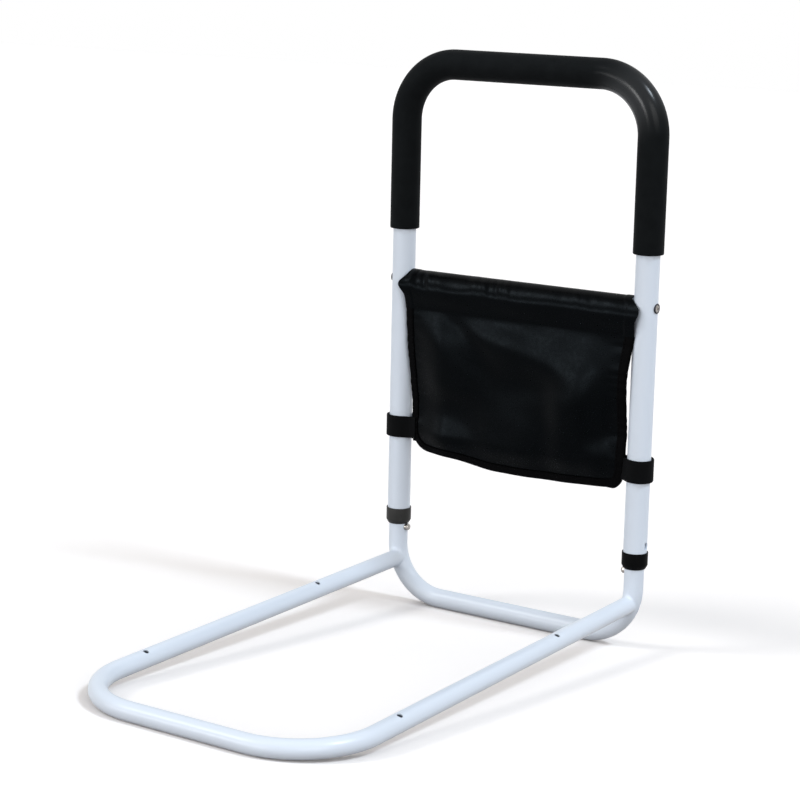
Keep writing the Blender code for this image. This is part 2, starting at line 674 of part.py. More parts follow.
def sleeve_profile():
    """Section of the sleeve as (y, z): up the front, over the crossbar and down the back."""
    turn = Matrix.Rotation(-POUCH_LEAN, 2)
    bar = turn @ Vector((-PANEL_Y, SEAM_BELOW_CROSSBAR))
    loop = CROSSBAR_RADIUS + TOUCH_GAP + CLOTH / 2
    front = -CLOTH_STEP
    over = [(bar.x + (front - bar.x) * math.cos(math.pi / 2 * part / 6),
             bar.y + loop * math.sin(math.pi / 2 * part / 6)) for part in range(7)]
    tuck = (CLOTH_STEP, SLEEVE_LAP)
    touch = tangent_angle(tuck, bar, loop, 1)
    down = arc_points(bar, loop, math.pi / 2, touch, 9)[1:]
    return [(front, 0), (front, SLEEVE_LAP)] + over + down + [tuck, (CLOTH_STEP, 0)]


def build_sleeve(hang):
    """Cloth tunnel round the crossbar, whose front has an ear in front of each leg."""
    half = LEG_X - UPPER_RADIUS - SLEEVE_END_GAP
    shape = bmesh.new()
    profile = [shape.verts.new((-half, y, z)) for y, z in sleeve_profile()]
    edges = [shape.edges.new(pair) for pair in zip(profile, profile[1:])]
    grown = bmesh.ops.extrude_edge_only(shape, edges=edges)["geom"]
    moved = [item for item in grown if isinstance(item, bmesh.types.BMVert)]
    bmesh.ops.translate(shape, verts=moved, vec=(2 * half, 0, 0))
    add_ears(shape, half)
    bmesh.ops.recalc_face_normals(shape, faces=shape.faces)
    mesh = bpy.data.meshes.new("pouch_sleeve")
    shape.to_mesh(mesh)
    shape.free()
    sleeve = add_part("pouch_sleeve", mesh, BLACK_CLOTH, hang)
    add_wall(sleeve, CLOTH, 0)


def add_ears(shape, half):
    """Draw the upper part of the sleeve's front out past both legs' inner sides."""
    front = -CLOTH_STEP / 2
    for way in SIDES.values():
        border = [edge for edge in shape.edges
                  if all(abs(vert.co.x - way * half) < WELD_DISTANCE and vert.co.y < front
                         and vert.co.z > SLEEVE_LAP - WELD_DISTANCE for vert in edge.verts)]
        grown = bmesh.ops.extrude_edge_only(shape, edges=border)["geom"]
        tips = [item for item in grown if isinstance(item, bmesh.types.BMVert)]
        middle = sum((tip.co for tip in tips), Vector()) / len(tips)
        for tip in tips:
            tip.co.x += way * EAR_REACH
            tip.co.z = middle.z + (tip.co.z - middle.z) * EAR_TAPER
            tip.co.y = -CLOTH_STEP


def panel_y(height):
    """Y of the back panel's middle plane at a height, in the design frame."""
    return PANEL_Y + (SEAM_HEIGHT - height) * math.tan(POUCH_LEAN)


def strap_layers():
    """Y of the strap's front layer, of the patch and of the strap's back layer."""
    over = TAPE + TOUCH_GAP
    front = panel_y(STRAP_HEIGHT + STRAP_WIDTH / 2) - CLOTH / 2 - TOUCH_GAP - over - CLOTH / 2
    back_face = panel_y(STRAP_HEIGHT - STRAP_WIDTH / 2) + CLOTH / 2 + CLOTH_STEP + TOUCH_GAP + over
    patch = back_face + PATCH_THICKNESS / 2
    return front, patch, back_face + PATCH_THICKNESS + TOUCH_GAP + CLOTH / 2


def strap_path(way):
    """Path (x, y): from the pouch's front, round the leg and back to the pouch's back."""
    front, _, back = strap_layers()
    inner = POUCH_HALF_FOOT - STRAP_LAP
    edge = POUCH_HALF_FOOT + TOUCH_GAP
    radius = UPPER_RADIUS + TOUCH_GAP + CLOTH / 2
    leg = (LEG_X, 0)
    start = tangent_angle((edge, front), leg, radius, 1)
    end = tangent_angle((edge, back), leg, radius, -1)
    if start > 0:
        start -= 2 * math.pi
    if end < 0:
        end += 2 * math.pi
    wrap = arc_points(leg, radius, start, end, 18)
    path = [(inner, front), (edge, front)] + wrap + [(edge, back), (inner, back)]
    return [(way * x, y) for x, y in path]


def build_straps(body):
    _, patch_y, _ = strap_layers()
    patch_width = STRAP_LAP - 2 * TOUCH_GAP
    for side, way in SIDES.items():
        mesh = ribbon_mesh(side + "_strap", strap_path(way), STRAP_WIDTH)
        strap = add_part(side + "_strap", mesh, BLACK_TAPE, body)
        strap.location = (0, 0, STRAP_HEIGHT)
        add_wall(strap, CLOTH, 0)
        low = STRAP_HEIGHT - STRAP_WIDTH / 2
        inner = way * (POUCH_HALF_FOOT - STRAP_LAP)
        outer = inner + way * patch_width
        outline = [(inner, low), (outer, low), (outer, low + STRAP_WIDTH), (inner, low + STRAP_WIDTH)]
        patch = plate_mesh(side + "_strap_patch", outline[::way], PATCH_THICKNESS, patch_y)
        add_part(side + "_strap_patch", patch, BLACK_CLOTH, body)


def build_rail():
    """Empties for the stance, the bodies and the pouch, then every sub-part in turn."""
    stance = new_empty("stance")
    stance.rotation_euler = (STANCE_TILT, 0, 0)
    stance.location = (0, STANCE_SHIFT, STANCE_LIFT)
    lower = new_empty("lower_frame_body", stance)
    upper = new_empty("upper_frame_body", stance)
    buttons = {}
    for side, way in SIDES.items():
        buttons[side] = new_empty(side + "_button_axis", lower)
        buttons[side].location = (way * LEG_X, 0, BUTTON_HEIGHT)
    hang = new_empty("pouch_hang", upper)
    hang.location = (0, PANEL_Y, SEAM_HEIGHT)
    hang.rotation_euler = (POUCH_LEAN, 0, 0)
    build_upper_frame(upper)
    build_grip(upper)
    build_collars(upper)
    build_lower_frame(lower)
    build_leg_plugs(lower)
    build_base(lower)
    build_base_welds(lower)
    build_snap_buttons(buttons)
    build_snap_springs(lower)
    build_crossbar(upper)
    build_crossbar_fasteners(upper)
    build_pouch_panel(hang)
    build_pocket_panel(hang)
    build_pocket_hem(hang)
    build_binding(hang)
    build_sleeve(hang)
    build_straps(upper)
    bpy.context.view_layer.update()


clear_scene()
PARTS = new_collection("bed_rail")
CUTTERS = new_collection("cutters")
build_rail()
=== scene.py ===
"""Looks of a bed rail: a padded tube handle that slides on a base frame, with a hanging cloth pouch.

Every piece is shaped in the rail's own upright frame, in metres: the origin lies midway between the
legs, level with the base rails, +Z runs up the legs and -Y out along the rails. The stance then tips
each piece on to the floor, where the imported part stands.
"""

import json
import logging
import math
from dataclasses import dataclass, field
from enum import Enum
from typing import Callable, ClassVar, Iterable, Sequence

import bmesh
import bpy
import numpy as np
from mathutils import Matrix, Vector


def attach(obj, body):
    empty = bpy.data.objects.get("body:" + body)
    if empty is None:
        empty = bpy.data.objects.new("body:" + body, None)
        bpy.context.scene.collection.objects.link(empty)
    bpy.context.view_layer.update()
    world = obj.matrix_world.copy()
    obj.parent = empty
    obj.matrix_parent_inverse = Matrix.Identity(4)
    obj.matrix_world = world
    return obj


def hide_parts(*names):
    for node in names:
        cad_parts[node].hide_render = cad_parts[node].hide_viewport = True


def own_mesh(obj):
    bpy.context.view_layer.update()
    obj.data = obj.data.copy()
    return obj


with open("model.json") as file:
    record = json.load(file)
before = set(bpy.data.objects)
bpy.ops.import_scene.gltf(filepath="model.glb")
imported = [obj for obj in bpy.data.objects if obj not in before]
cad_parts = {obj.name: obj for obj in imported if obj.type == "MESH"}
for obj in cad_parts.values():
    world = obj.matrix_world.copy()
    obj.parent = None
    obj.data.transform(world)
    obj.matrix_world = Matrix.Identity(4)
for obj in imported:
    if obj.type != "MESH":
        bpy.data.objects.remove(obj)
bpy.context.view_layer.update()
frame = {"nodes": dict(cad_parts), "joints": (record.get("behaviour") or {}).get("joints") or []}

LOG = logging.getLogger("bed_rail")
Colour = tuple[float, float, float]
Point = Sequence[float]
Path = tuple[Point, Point, Point, Point]
Profile = list[tuple[float, float]]
Piece = bpy.types.Object
Socket = bpy.types.NodeSocket

TOUCH_GAP = 0.0003
POINTED_RADIUS = 1e-5
NOISE_RANGE = (0.3, 0.7)
FULL_TURN = 2 * math.pi
QUARTER_TURN = math.pi / 2


class Side(Enum):
    """The two sides of the rail, as signs along X."""

    LEFT = -1
    RIGHT = 1

    @property
    def label(self) -> str:
        """The side's word in a piece's name."""
        return self.name.lower()


class Body(Enum):
    """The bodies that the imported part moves."""

    LOWER = "lower_frame"
    UPPER = "upper_frame"
    LEFT_BUTTON = "left_button"
    RIGHT_BUTTON = "right_button"


class Slot(Enum):
    """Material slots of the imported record."""

    PAINT = "frame_paint"
    FOAM = "grip_foam"
    COLLAR = "collar_plastic"
    BUTTON = "button_steel"
    DARK_STEEL = "dark_steel"
    SPRING = "spring_steel"
    CLOTH = "pouch_cloth"
    TAPE = "pouch_tape"
    WEBBING = "strap_webbing"


@dataclass(frozen=True)
class Stance:
    """How the upright rail tips on to the floor: a turn about X, then a shift."""

    shift: float = 0.28325807
    lift: float = 0.05045581

    @property
    def matrix(self) -> Matrix:
        """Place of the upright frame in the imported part's frame.

        Returns:
            The turn and shift as one matrix.
        """
        slide = next(joint for joint in frame["joints"] if joint["name"] == "height_slide")
        tilt = math.atan2(-slide["axis"][1], slide["axis"][2])
        return Matrix.Translation((0, self.shift, self.lift)) @ Matrix.Rotation(tilt, 4, "X")

    def place(self, points: np.ndarray) -> np.ndarray:
        """Upright points, in any array whose last axis is (x, y, z), set on the floor."""
        turn = np.array(self.matrix)
        return points @ turn[:3, :3].T + turn[:3, 3]


@dataclass(frozen=True)
class Layout:
    """Sizes that more than one sub-assembly uses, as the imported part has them."""

    leg_x: float = 0.151
    upper_radius: float = 0.0127
    upper_wall: float = 0.0015
    lower_radius: float = 0.01065
    lower_wall: float = 0.0015
    button_height: float = 0.0361
    collar_bottom: float = 0.0404
    collar_top: float = 0.0586
    lower_leg_top: float = 0.2504
    crossbar_height: float = 0.322
    grip_end: float = 0.378
    handle_height: float = 0.560
    handle_bend: float = 0.062


STANCE = Stance()
LAYOUT = Layout()


class Nodes:
    """A node tree whose nodes are added and joined in short calls."""

    def __init__(self, tree: bpy.types.NodeTree) -> None:
        """Begin in a tree."""
        self.tree = tree

    def add(self, kind: str, inputs: dict, **settings: object) -> bpy.types.Node:
        """Add a node.

        Args:
            kind: Node type without its ShaderNode prefix.
            inputs: Socket values or the sockets that feed them, by socket name or number.
            settings: Properties of the node itself.

        Returns:
            The new node.
        """
        node = self.tree.nodes.new("ShaderNode" + kind)
        for key, value in settings.items():
            setattr(node, key, value)
        for key, value in inputs.items():
            self.feed(node.inputs[key], value)
        return node

    def feed(self, socket: Socket, value: object) -> None:
        """Set a socket to a value, or join another socket to it.

        Args:
            socket: The socket to set.
            value: Its value, or the socket that feeds it.
        """
        if isinstance(value, Socket):
            self.tree.links.new(value, socket)
        else:
            socket.default_value = value

    def remap(self, value: Socket, low: float, high: float, out_low: float, out_high: float) -> Socket:
        """Carry the range low to high over to out_low to out_high, clamped."""
        return self.add("MapRange", {0: value, 1: low, 2: high, 3: out_low, 4: out_high}).outputs[0]

    def maths(self, operation: str, first: object, second: object = 0.0) -> Socket:
        """One step of arithmetic on numbers or sockets."""
        return self.add("Math", {0: first, 1: second}, operation=operation).outputs[0]

    def wave(self, place: Socket, factor: float) -> Socket:
        """A sine of a coordinate times a factor."""
        return self.maths("SINE", self.maths("MULTIPLY", place, factor))

    def looked_at(self) -> Socket:
        """Whether a ray comes from the camera, or from a shine or a clear piece that it sees.

        Returns:
            A socket that gives 1 for such rays and 0 for the rest.
        """
        rays = self.add("LightPath", {}).outputs
        seen = self.maths("MAXIMUM", rays["Is Camera Ray"], rays["Is Glossy Ray"])
        return self.maths("MAXIMUM", seen, rays["Is Transmission Ray"])


def scaled(colour: Colour, factor: float) -> Colour:
    """The colour made lighter or darker by a factor."""
    return tuple(min(1.0, channel * factor) for channel in colour)


@dataclass(frozen=True)
class Grain:
    """Fine relief: features in a metre, depth in metres, strength, and how detailed it is."""

    scale: float
    depth: float
    strength: float
    detail: float = 3.0


class Sketch(Nodes):
    """The nodes of a material."""

    def __init__(self, name: str) -> None:
        """Start a material with its Principled shader.

        Args:
            name: The material's name.
        """
        self.material = bpy.data.materials.new(name)
        self.material.use_nodes = True
        super().__init__(self.material.node_tree)
        self.shader = self.tree.nodes["Principled BSDF"]
        self.coordinates = self.add("TexCoord", {})

    def place(self, where: str = "Object") -> Socket:
        """Object coordinates, or the piece's own UV map."""
        return self.coordinates.outputs[where]

    def stretched(self, scale: Point, where: str = "Object") -> Socket:
        """Coordinates scaled by a different factor along each axis."""
        return self.add("Mapping", {"Vector": self.place(where), "Scale": scale}).outputs["Vector"]

    def noise(self, scale: float, detail: float = 2.0, at: Socket | None = None) -> Socket:
        """Soft noise from 0 to 1, with the given number of features in a metre."""
        inputs = {"Vector": at or self.place(), "Scale": scale, "Detail": detail}
        return self.add("TexNoise", inputs).outputs["Fac"]

    def cells(self, scale: float) -> Socket:
        """Distance from the middles of small cells, with the given number of them in a metre."""
        return self.add("TexVoronoi", {"Vector": self.place(), "Scale": scale}).outputs["Distance"]

    def spread(self, noise: Socket, low: float, high: float) -> Socket:
        """The usual range of a noise carried over to a range of its own."""
        return self.remap(noise, *NOISE_RANGE, low, high)

    def mixed(self, share: Socket, first: Colour | Socket, second: Colour) -> Socket:
        """A colour between two, by a share from 0 to 1."""
        start = first if isinstance(first, Socket) else (*first, 1.0)
        return self.add("Mix", {0: share, 6: start, 7: (*second, 1.0)}, data_type="RGBA").outputs[2]

    def shades(self, colour: Colour, part: float, share: Socket) -> Socket:
        """A colour from darker to lighter by a part of itself, as a share goes from 0 to 1."""
        return self.mixed(share, scaled(colour, 1 - part), scaled(colour, 1 + part))

    def bump(self, height: Socket, depth: float, strength: float, under: Socket | None = None) -> Socket:
        """Relief over an earlier relief, if there is one.

        Args:
            height: Heights from 0 to 1.
            depth: The relief's depth in metres.
            strength: Share of that depth that shows.
            under: The earlier relief.

        Returns:
            The socket that gives the relief.
        """
        inputs = {"Height": height, "Distance": depth, "Strength": strength}
        if under is not None:
            inputs["Normal"] = under
        return self.add("Bump", inputs).outputs["Normal"]

    def grain(self, grain: Grain, under: Socket | None = None) -> Socket:
        """Relief from a noise of its own."""
        return self.bump(self.noise(grain.scale, grain.detail), grain.depth, grain.strength, under)

    def shade(self, **inputs: object) -> None:
        """Set or feed sockets of the shader; an underscore stands for a space in a socket's name."""
        for key, value in inputs.items():
            self.feed(self.shader.inputs[key.replace("_", " ")], value)


@dataclass(frozen=True)
class Finish:
    """A finish that is mixed once and used on every piece that has it.

    tone says how many soft lighter and darker areas a metre has and how far they part from the
    colour; patches how many smoother and rougher ones, and gloss how far they part downwards and
    upwards from the roughness.
    """

    name: str
    colour: Colour
    roughness: float
    tone: ClassVar[tuple[float, float]]
    patches: ClassVar[float]
    gloss: ClassVar[tuple[float, float]]
    made: ClassVar[dict[str, bpy.types.Material]] = {}

    def material(self) -> bpy.types.Material:
        """Mix the finish's material on first use.

        Returns:
            The material.
        """
        if self.name not in Finish.made:
            sketch = Sketch(self.name)
            self.mix(sketch)
            Finish.made[self.name] = sketch.material
        return Finish.made[self.name]

    def mix(self, sketch: Sketch) -> None:
        """Lay the finish's nodes."""
        raise NotImplementedError

    def toned(self, sketch: Sketch) -> Socket:
        """The finish's colour with its soft lighter and darker areas."""
        scale, part = self.tone
        return sketch.shades(self.colour, part, sketch.spread(sketch.noise(scale), 0.0, 1.0))

    def glossed(self, sketch: Sketch, noise: Socket | None = None) -> Socket:
        """The finish's roughness with its smoother and rougher areas.

        Args:
            sketch: The material's nodes.
            noise: The noise that they follow, or none for one of their own.

        Returns:
            The socket that gives the roughness.
        """
        share = sketch.noise(self.patches) if noise is None else noise
        return sketch.spread(share, self.roughness - self.gloss[0], self.roughness + self.gloss[1])


@dataclass(frozen=True)
class PowderCoat(Finish):
    """Baked white paint: fine orange peel, faint tone, and rub marks where a leg slides."""

    rubbed: bool = False
    tone: ClassVar[tuple[float, float]] = (9.0, 0.006)
    patches: ClassVar[float] = 45.0
    gloss: ClassVar[tuple[float, float]] = (0.01, 0.01)
    peel: ClassVar[Grain] = Grain(900.0, 0.00002, 0.04, 1.0)
    rub_stretch: ClassVar[Point] = (1300.0, 1300.0, 16.0)
    rub_range: ClassVar[tuple[float, float]] = (0.68, 0.78)
    rub_share: ClassVar[float] = 0.25
    rub_shade: ClassVar[float] = 0.72

    def mix(self, sketch: Sketch) -> None:
        """Lay the paint's nodes.

        Args:
            sketch: The material's nodes.
        """
        colour = self.toned(sketch)
        if self.rubbed:
            streaks = sketch.noise(1.0, 3.0, sketch.stretched(self.rub_stretch))
            marks = sketch.remap(streaks, *self.rub_range, 0.0, self.rub_share)
            colour = sketch.mixed(marks, colour, scaled(self.colour, self.rub_shade))
        sketch.shade(Base_Color=colour, Roughness=self.glossed(sketch), Specular_IOR_Level=0.5,
                     Normal=sketch.grain(self.peel))


@dataclass(frozen=True)
class BareSteel(Finish):
    """Steel with fine brushing along one axis and a little tone from handling."""

    tone: ClassVar[tuple[float, float]] = (160.0, 0.10)
    brushing: ClassVar[Point] = (90.0, 1600.0, 1600.0)
    lines: ClassVar[tuple[float, float]] = (0.00003, 0.25)
    gloss: ClassVar[tuple[float, float]] = (0.06, 0.10)

    def mix(self, sketch: Sketch) -> None:
        """Lay the steel's nodes.

        Args:
            sketch: The material's nodes.
        """
        lines = sketch.noise(1.0, 3.0, sketch.stretched(self.brushing))
        sketch.shade(Base_Color=self.toned(sketch), Roughness=self.glossed(sketch, lines),
                     Metallic=1.0, Normal=sketch.bump(lines, *self.lines))


@dataclass(frozen=True)
class ClosedFoam(Finish):
    """Closed-cell foam: a fine skin with pores, slightly mottled, and smoother where a hand holds it."""

    shine: float = 0.2
    tint: Colour = (0.72, 0.87, 1.0)
    worn_place: Colour = (0.128, 0.238, 0.585)
    worn_reach: float = 0.056
    polish: float = 0.68
    polish_roughness: float = 0.22
    polish_index: float = 1.5
    tone: ClassVar[tuple[float, float]] = (85.0, 0.12)
    patches: ClassVar[float] = 70.0
    gloss: ClassVar[tuple[float, float]] = (0.04, 0.04)
    skin: ClassVar[Grain] = Grain(330.0, 0.00008, 0.18)
    pores: ClassVar[Grain] = Grain(1500.0, 0.00006, 0.15)
    pore_range: ClassVar[tuple[float, float]] = (0.05, 0.45)

    def mix(self, sketch: Sketch) -> None:
        """Lay the foam's nodes.

        Args:
            sketch: The material's nodes.
        """
        pores = sketch.remap(sketch.cells(self.pores.scale), *self.pore_range, 0.0, 1.0)
        fine = sketch.bump(pores, self.pores.depth, self.pores.strength)
        away = sketch.add("VectorMath", {0: sketch.place(), 1: self.worn_place}, operation="DISTANCE")
        worn = sketch.add("MapRange", {0: away.outputs["Value"], 1: 0.0, 2: self.worn_reach,
                                       3: self.polish, 4: 0.0}, interpolation_type="SMOOTHERSTEP")
        sketch.shade(Base_Color=self.toned(sketch), Roughness=self.glossed(sketch),
                     Specular_IOR_Level=self.shine, Specular_Tint=(*self.tint, 1.0),
                     Coat_Weight=worn.outputs[0], Coat_Roughness=self.polish_roughness,
                     Coat_IOR=self.polish_index, Coat_Tint=(*self.tint, 1.0),
                     Normal=sketch.grain(self.skin, fine))


@dataclass(frozen=True)
class Moulded(Finish):
    """Moulded plastic with a spark-eroded grain."""

    shine: float = 0.2
    tone: ClassVar[tuple[float, float]] = (140.0, 0.10)
    patches: ClassVar[float] = 120.0
    gloss: ClassVar[tuple[float, float]] = (0.05, 0.06)
    sparks: ClassVar[Grain] = Grain(1100.0, 0.00004, 0.30)

    def mix(self, sketch: Sketch) -> None:
        """Lay the plastic's nodes."""
        sketch.shade(Base_Color=self.toned(sketch), Roughness=self.glossed(sketch),
                     Specular_IOR_Level=self.shine, Normal=sketch.grain(self.sparks))


@dataclass(frozen=True)
class WovenCloth(Finish):
    """Coated plain weave, read from the piece's own UV map, which is in metres."""

    shine: float = 0.06
    tint: Colour = (0.68, 0.86, 1.0)
    pitch: float = 0.00055
    slub: float = 0.14
    threads: ClassVar[Point] = (90.0, 1500.0, 1.0)
    weave: ClassVar[tuple[float, float]] = (0.00008, 0.05)
    creases: ClassVar[Grain] = Grain(210.0, 0.0003, 0.10)
    gloss: ClassVar[tuple[float, float]] = (0.04, 0.05)

    def mix(self, sketch: Sketch) -> None:
        """Lay the cloth's nodes.

        Args:
            sketch: The material's nodes.
        """
        parts = sketch.add("SeparateXYZ", {0: sketch.place("UV")})
        warp, weft = (sketch.wave(parts.outputs[way], FULL_TURN / self.pitch) for way in (0, 1))
        weave = sketch.remap(sketch.maths("MULTIPLY", warp, weft), -1.0, 1.0, 0.0, 1.0)
        threads = sketch.spread(sketch.noise(1.0, 2.0, sketch.stretched(self.threads, "UV")), 0.0, 1.0)
        creases = sketch.noise(self.creases.scale, self.creases.detail)
        relief = sketch.bump(creases, self.creases.depth, self.creases.strength,
                             sketch.bump(weave, *self.weave))
        sketch.shade(Base_Color=sketch.shades(self.colour, self.slub, threads), Normal=relief,
                     Roughness=self.glossed(sketch, creases), Specular_IOR_Level=self.shine,
                     Specular_Tint=(*self.tint, 1.0))


@dataclass(frozen=True)
class RibbedTape(Finish):
    """Tape or webbing whose ribs run along or across it, read from its UV map in metres."""

    rib: float = 0.0011
    across: bool = True
    shine: float = 0.05
    tone: ClassVar[tuple[float, float]] = (240.0, 0.16)
    twill: ClassVar[float] = 0.4
    ribs: ClassVar[tuple[float, float]] = (0.00016, 0.5)
    fuzz: ClassVar[Grain] = Grain(1900.0, 0.0001, 0.3, 2.0)

    def mix(self, sketch: Sketch) -> None:
        """Lay the tape's nodes.

        Args:
            sketch: The material's nodes.
        """
        parts = sketch.add("SeparateXYZ", {0: sketch.place("UV")})
        along, over = (1, 0) if self.across else (0, 1)
        wave = sketch.wave(parts.outputs[over], FULL_TURN / self.rib)
        twill = sketch.wave(parts.outputs[along], 2 * FULL_TURN / self.rib)
        height = sketch.maths("ADD", wave, sketch.maths("MULTIPLY", twill, self.twill))
        ribs = sketch.remap(height, -1 - self.twill, 1 + self.twill, 0.0, 1.0)
        sketch.shade(Base_Color=self.toned(sketch), Roughness=self.roughness,
                     Specular_IOR_Level=self.shine,
                     Normal=sketch.grain(self.fuzz, sketch.bump(ribs, *self.ribs)))


@dataclass(frozen=True)
class LoopPile(Finish):
    """Pile of a hook-and-loop patch."""

    shine: float = 0.05
    tone: ClassVar[tuple[float, float]] = (300.0, 0.25)
    loops: ClassVar[Grain] = Grain(1100.0, 0.0003, 0.6)

    def mix(self, sketch: Sketch) -> None:
        """Lay the pile's nodes.

        Args:
            sketch: The material's nodes.
        """
        relief = sketch.bump(sketch.cells(self.loops.scale), self.loops.depth, self.loops.strength)
        sketch.shade(Base_Color=self.toned(sketch), Roughness=self.roughness,
                     Specular_IOR_Level=self.shine, Normal=relief)


@dataclass(frozen=True)
class StudioFloor(Finish):
    """Plain floor: white where it is looked at, and a warm board in the light that it throws back."""

    board: Colour = (0.21, 0.185, 0.175)
    tone: ClassVar[tuple[float, float]] = (0.8, 0.03)

    def mix(self, sketch: Sketch) -> None:
        """Lay the floor's nodes.

        Args:
            sketch: The material's nodes.
        """
        scale, part = self.tone
        board = sketch.shades(self.board, part, sketch.noise(scale))
        sketch.shade(Base_Color=sketch.mixed(sketch.looked_at(), board, self.colour),
                     Roughness=self.roughness, Specular_IOR_Level=0.0)


WHITE_PAINT = PowderCoat("white_paint", (0.70, 0.77, 0.865), 0.30)
RUBBED_PAINT = PowderCoat("white_paint_rubbed", (0.70, 0.77, 0.865), 0.31, rubbed=True)
# Inside of the tubes: bare steel, made far darker and bluer than steel so that the holes read dark, as
# painted shade inside the tubes.
TUBE_BORE_STEEL_AND_SHADE = BareSteel("tube_bore_steel_and_painted_shade", (0.020, 0.026, 0.07), 0.5)
GRIP_FOAM = ClosedFoam("grip_foam", (0.0068, 0.0077, 0.0083), 0.55, 0.022)
# Both collars are one plastic: the left one gets a lighter copy of it as painted light, the right one a
# darker copy as painted shade.
COLLAR_PAINTED_LIT = Moulded("collar_left_painted_lit", (0.019, 0.019, 0.018), 0.48, 0.22)
COLLAR_PAINTED_SHADE = Moulded("collar_right_painted_shade", (0.0012, 0.0012, 0.0014), 0.50, 0.04)
PLUG_PLASTIC = Moulded("plug_plastic", (0.02, 0.02, 0.02), 0.45)
# Chrome steel, set darker than bare chrome to stand in for the dark reflections it shows: partly its own
# colour, partly painted reflection.
BUTTON_STEEL_WITH_DARK_REFLECTION = BareSteel("button_steel", (0.33, 0.31, 0.29), 0.20)
DARK_STEEL = BareSteel("dark_steel", (0.030, 0.030, 0.036), 0.40)
SPRING_STEEL = BareSteel("spring_steel", (0.38, 0.38, 0.40), 0.34)
POUCH_CLOTH = WovenCloth("pouch_cloth", (0.0006, 0.0006, 0.0007), 0.29, 0.041)
POUCH_TAPE = RibbedTape("pouch_tape", (0.0006, 0.0006, 0.0008), 0.55, 0.0009, shine=0.022)
WEBBING = RibbedTape("strap_webbing", (0.0014, 0.0016, 0.0020), 0.70, 0.0013, False)
LOOP_PILE = LoopPile("hook_and_loop", (0.004, 0.004, 0.005), 0.9)
THREAD = RibbedTape("pouch_thread", (0.0016, 0.0017, 0.0020), 0.6, 0.0006, shine=0.02)
FLOOR = StudioFloor("studio_floor", (1.14, 1.10, 1.08), 0.9)


class Bench:
    """One piece on the bench, shaped in edit mode by Blender's own operators."""

    def __init__(self, name: str) -> None:
        """Clear the bench for a piece.

        Args:
            name: The piece's name.
        """
        self.name = name
        self.obj: Piece | None = None
        if bpy.context.mode != "OBJECT":
            bpy.ops.object.mode_set(mode="OBJECT")
        bpy.ops.object.select_all(action="DESELECT")

    def take(self) -> None:
        """Take the new primitive: fix its place and select all of it in edit mode."""
        self.obj = bpy.context.object
        self.obj.name = self.obj.data.name = self.name
        bpy.ops.object.transform_apply(location=True, rotation=True, scale=True)
        bpy.ops.object.mode_set(mode="EDIT")
        bpy.ops.mesh.select_all(action="SELECT")

    def ring(self, radius: float, sides: int, place: Point, facing: Point) -> None:
        """Begin with an open ring.

        Args:
            radius: Radius of the ring.
            sides: Number of edges.
            place: Centre of the ring.
            facing: Direction of the ring's axis.
        """
        turn = Vector(facing).to_track_quat("Z", "Y").to_euler()
        bpy.ops.mesh.primitive_circle_add(vertices=sides, radius=radius, location=place, rotation=turn)
        self.take()

    def extrude(self, span: Point) -> None:
        """Draw the selected ring out along a vector."""
        bpy.ops.mesh.extrude_edges_move(TRANSFORM_OT_translate={"value": tuple(span)})

    def spin(self, centre: Point, axis: Point, angle: float, steps: int) -> None:
        """Draw the selected ring round an arc; the operator itself turns left-handed."""
        bpy.ops.mesh.spin(steps=steps, angle=-angle, center=tuple(centre), axis=tuple(axis), dupli=False)

    def leave(self) -> None:
        """Back to object mode, with the piece alone selected."""
        if bpy.context.mode != "OBJECT":
            bpy.ops.object.mode_set(mode="OBJECT")
        pick(self.obj)

    def mend(self, operator: Callable, **settings: object) -> None:
        """Run an operator on the whole mesh and turn every face outwards.

        Args:
            operator: The operator.
            settings: Its settings.
        """
        self.leave()
        bpy.ops.object.mode_set(mode="EDIT")
        bpy.ops.mesh.select_all(action="SELECT")
        operator(**settings)
        bpy.ops.mesh.normals_make_consistent(inside=False)
        self.leave()

    def face_outwards(self) -> None:
        """Merge doubles and turn every face outwards."""
        self.mend(bpy.ops.mesh.remove_doubles, threshold=1e-6)

    def fill_ends(self) -> None:
        """Close every open ring with a face."""
        self.mend(bpy.ops.mesh.fill_holes, sides=0)

    def modify(self, kind: str, **settings: object) -> None:
        """Add a modifier and apply it.

        Args:
            kind: The modifier's type.
            settings: Its settings.
        """
        self.leave()
        step = self.obj.modifiers.new(kind.lower(), kind)
        for key, value in settings.items():
            setattr(step, key, value)
        bpy.ops.object.modifier_apply(modifier=step.name)

    def hollow(self, wall: float) -> None:
        """Give a drawn tube its wall, whose inner face takes the piece's second finish."""
        self.modify("SOLIDIFY", thickness=wall, offset=-1, material_offset=1)

    def bevel(self, width: float, angle: float, segments: int = 3) -> None:
        """Round every edge that turns by more than an angle in degrees."""
        self.modify("BEVEL", width=width, segments=segments, limit_method="ANGLE",
                    angle_limit=math.radians(angle))

    def cut(self, cutter: Piece) -> None:
        """Take another closed piece away from this one, and clear that piece away."""
        self.modify("BOOLEAN", operation="DIFFERENCE", solver="EXACT", object=cutter)
        bpy.data.objects.remove(cutter, do_unlink=True)


def pick(obj: Piece) -> None:
    """Select one piece alone and make it the active one.

    Args:
        obj: The piece.
    """
    bpy.ops.object.select_all(action="DESELECT")
    obj.select_set(True)
    bpy.context.view_layer.objects.active = obj


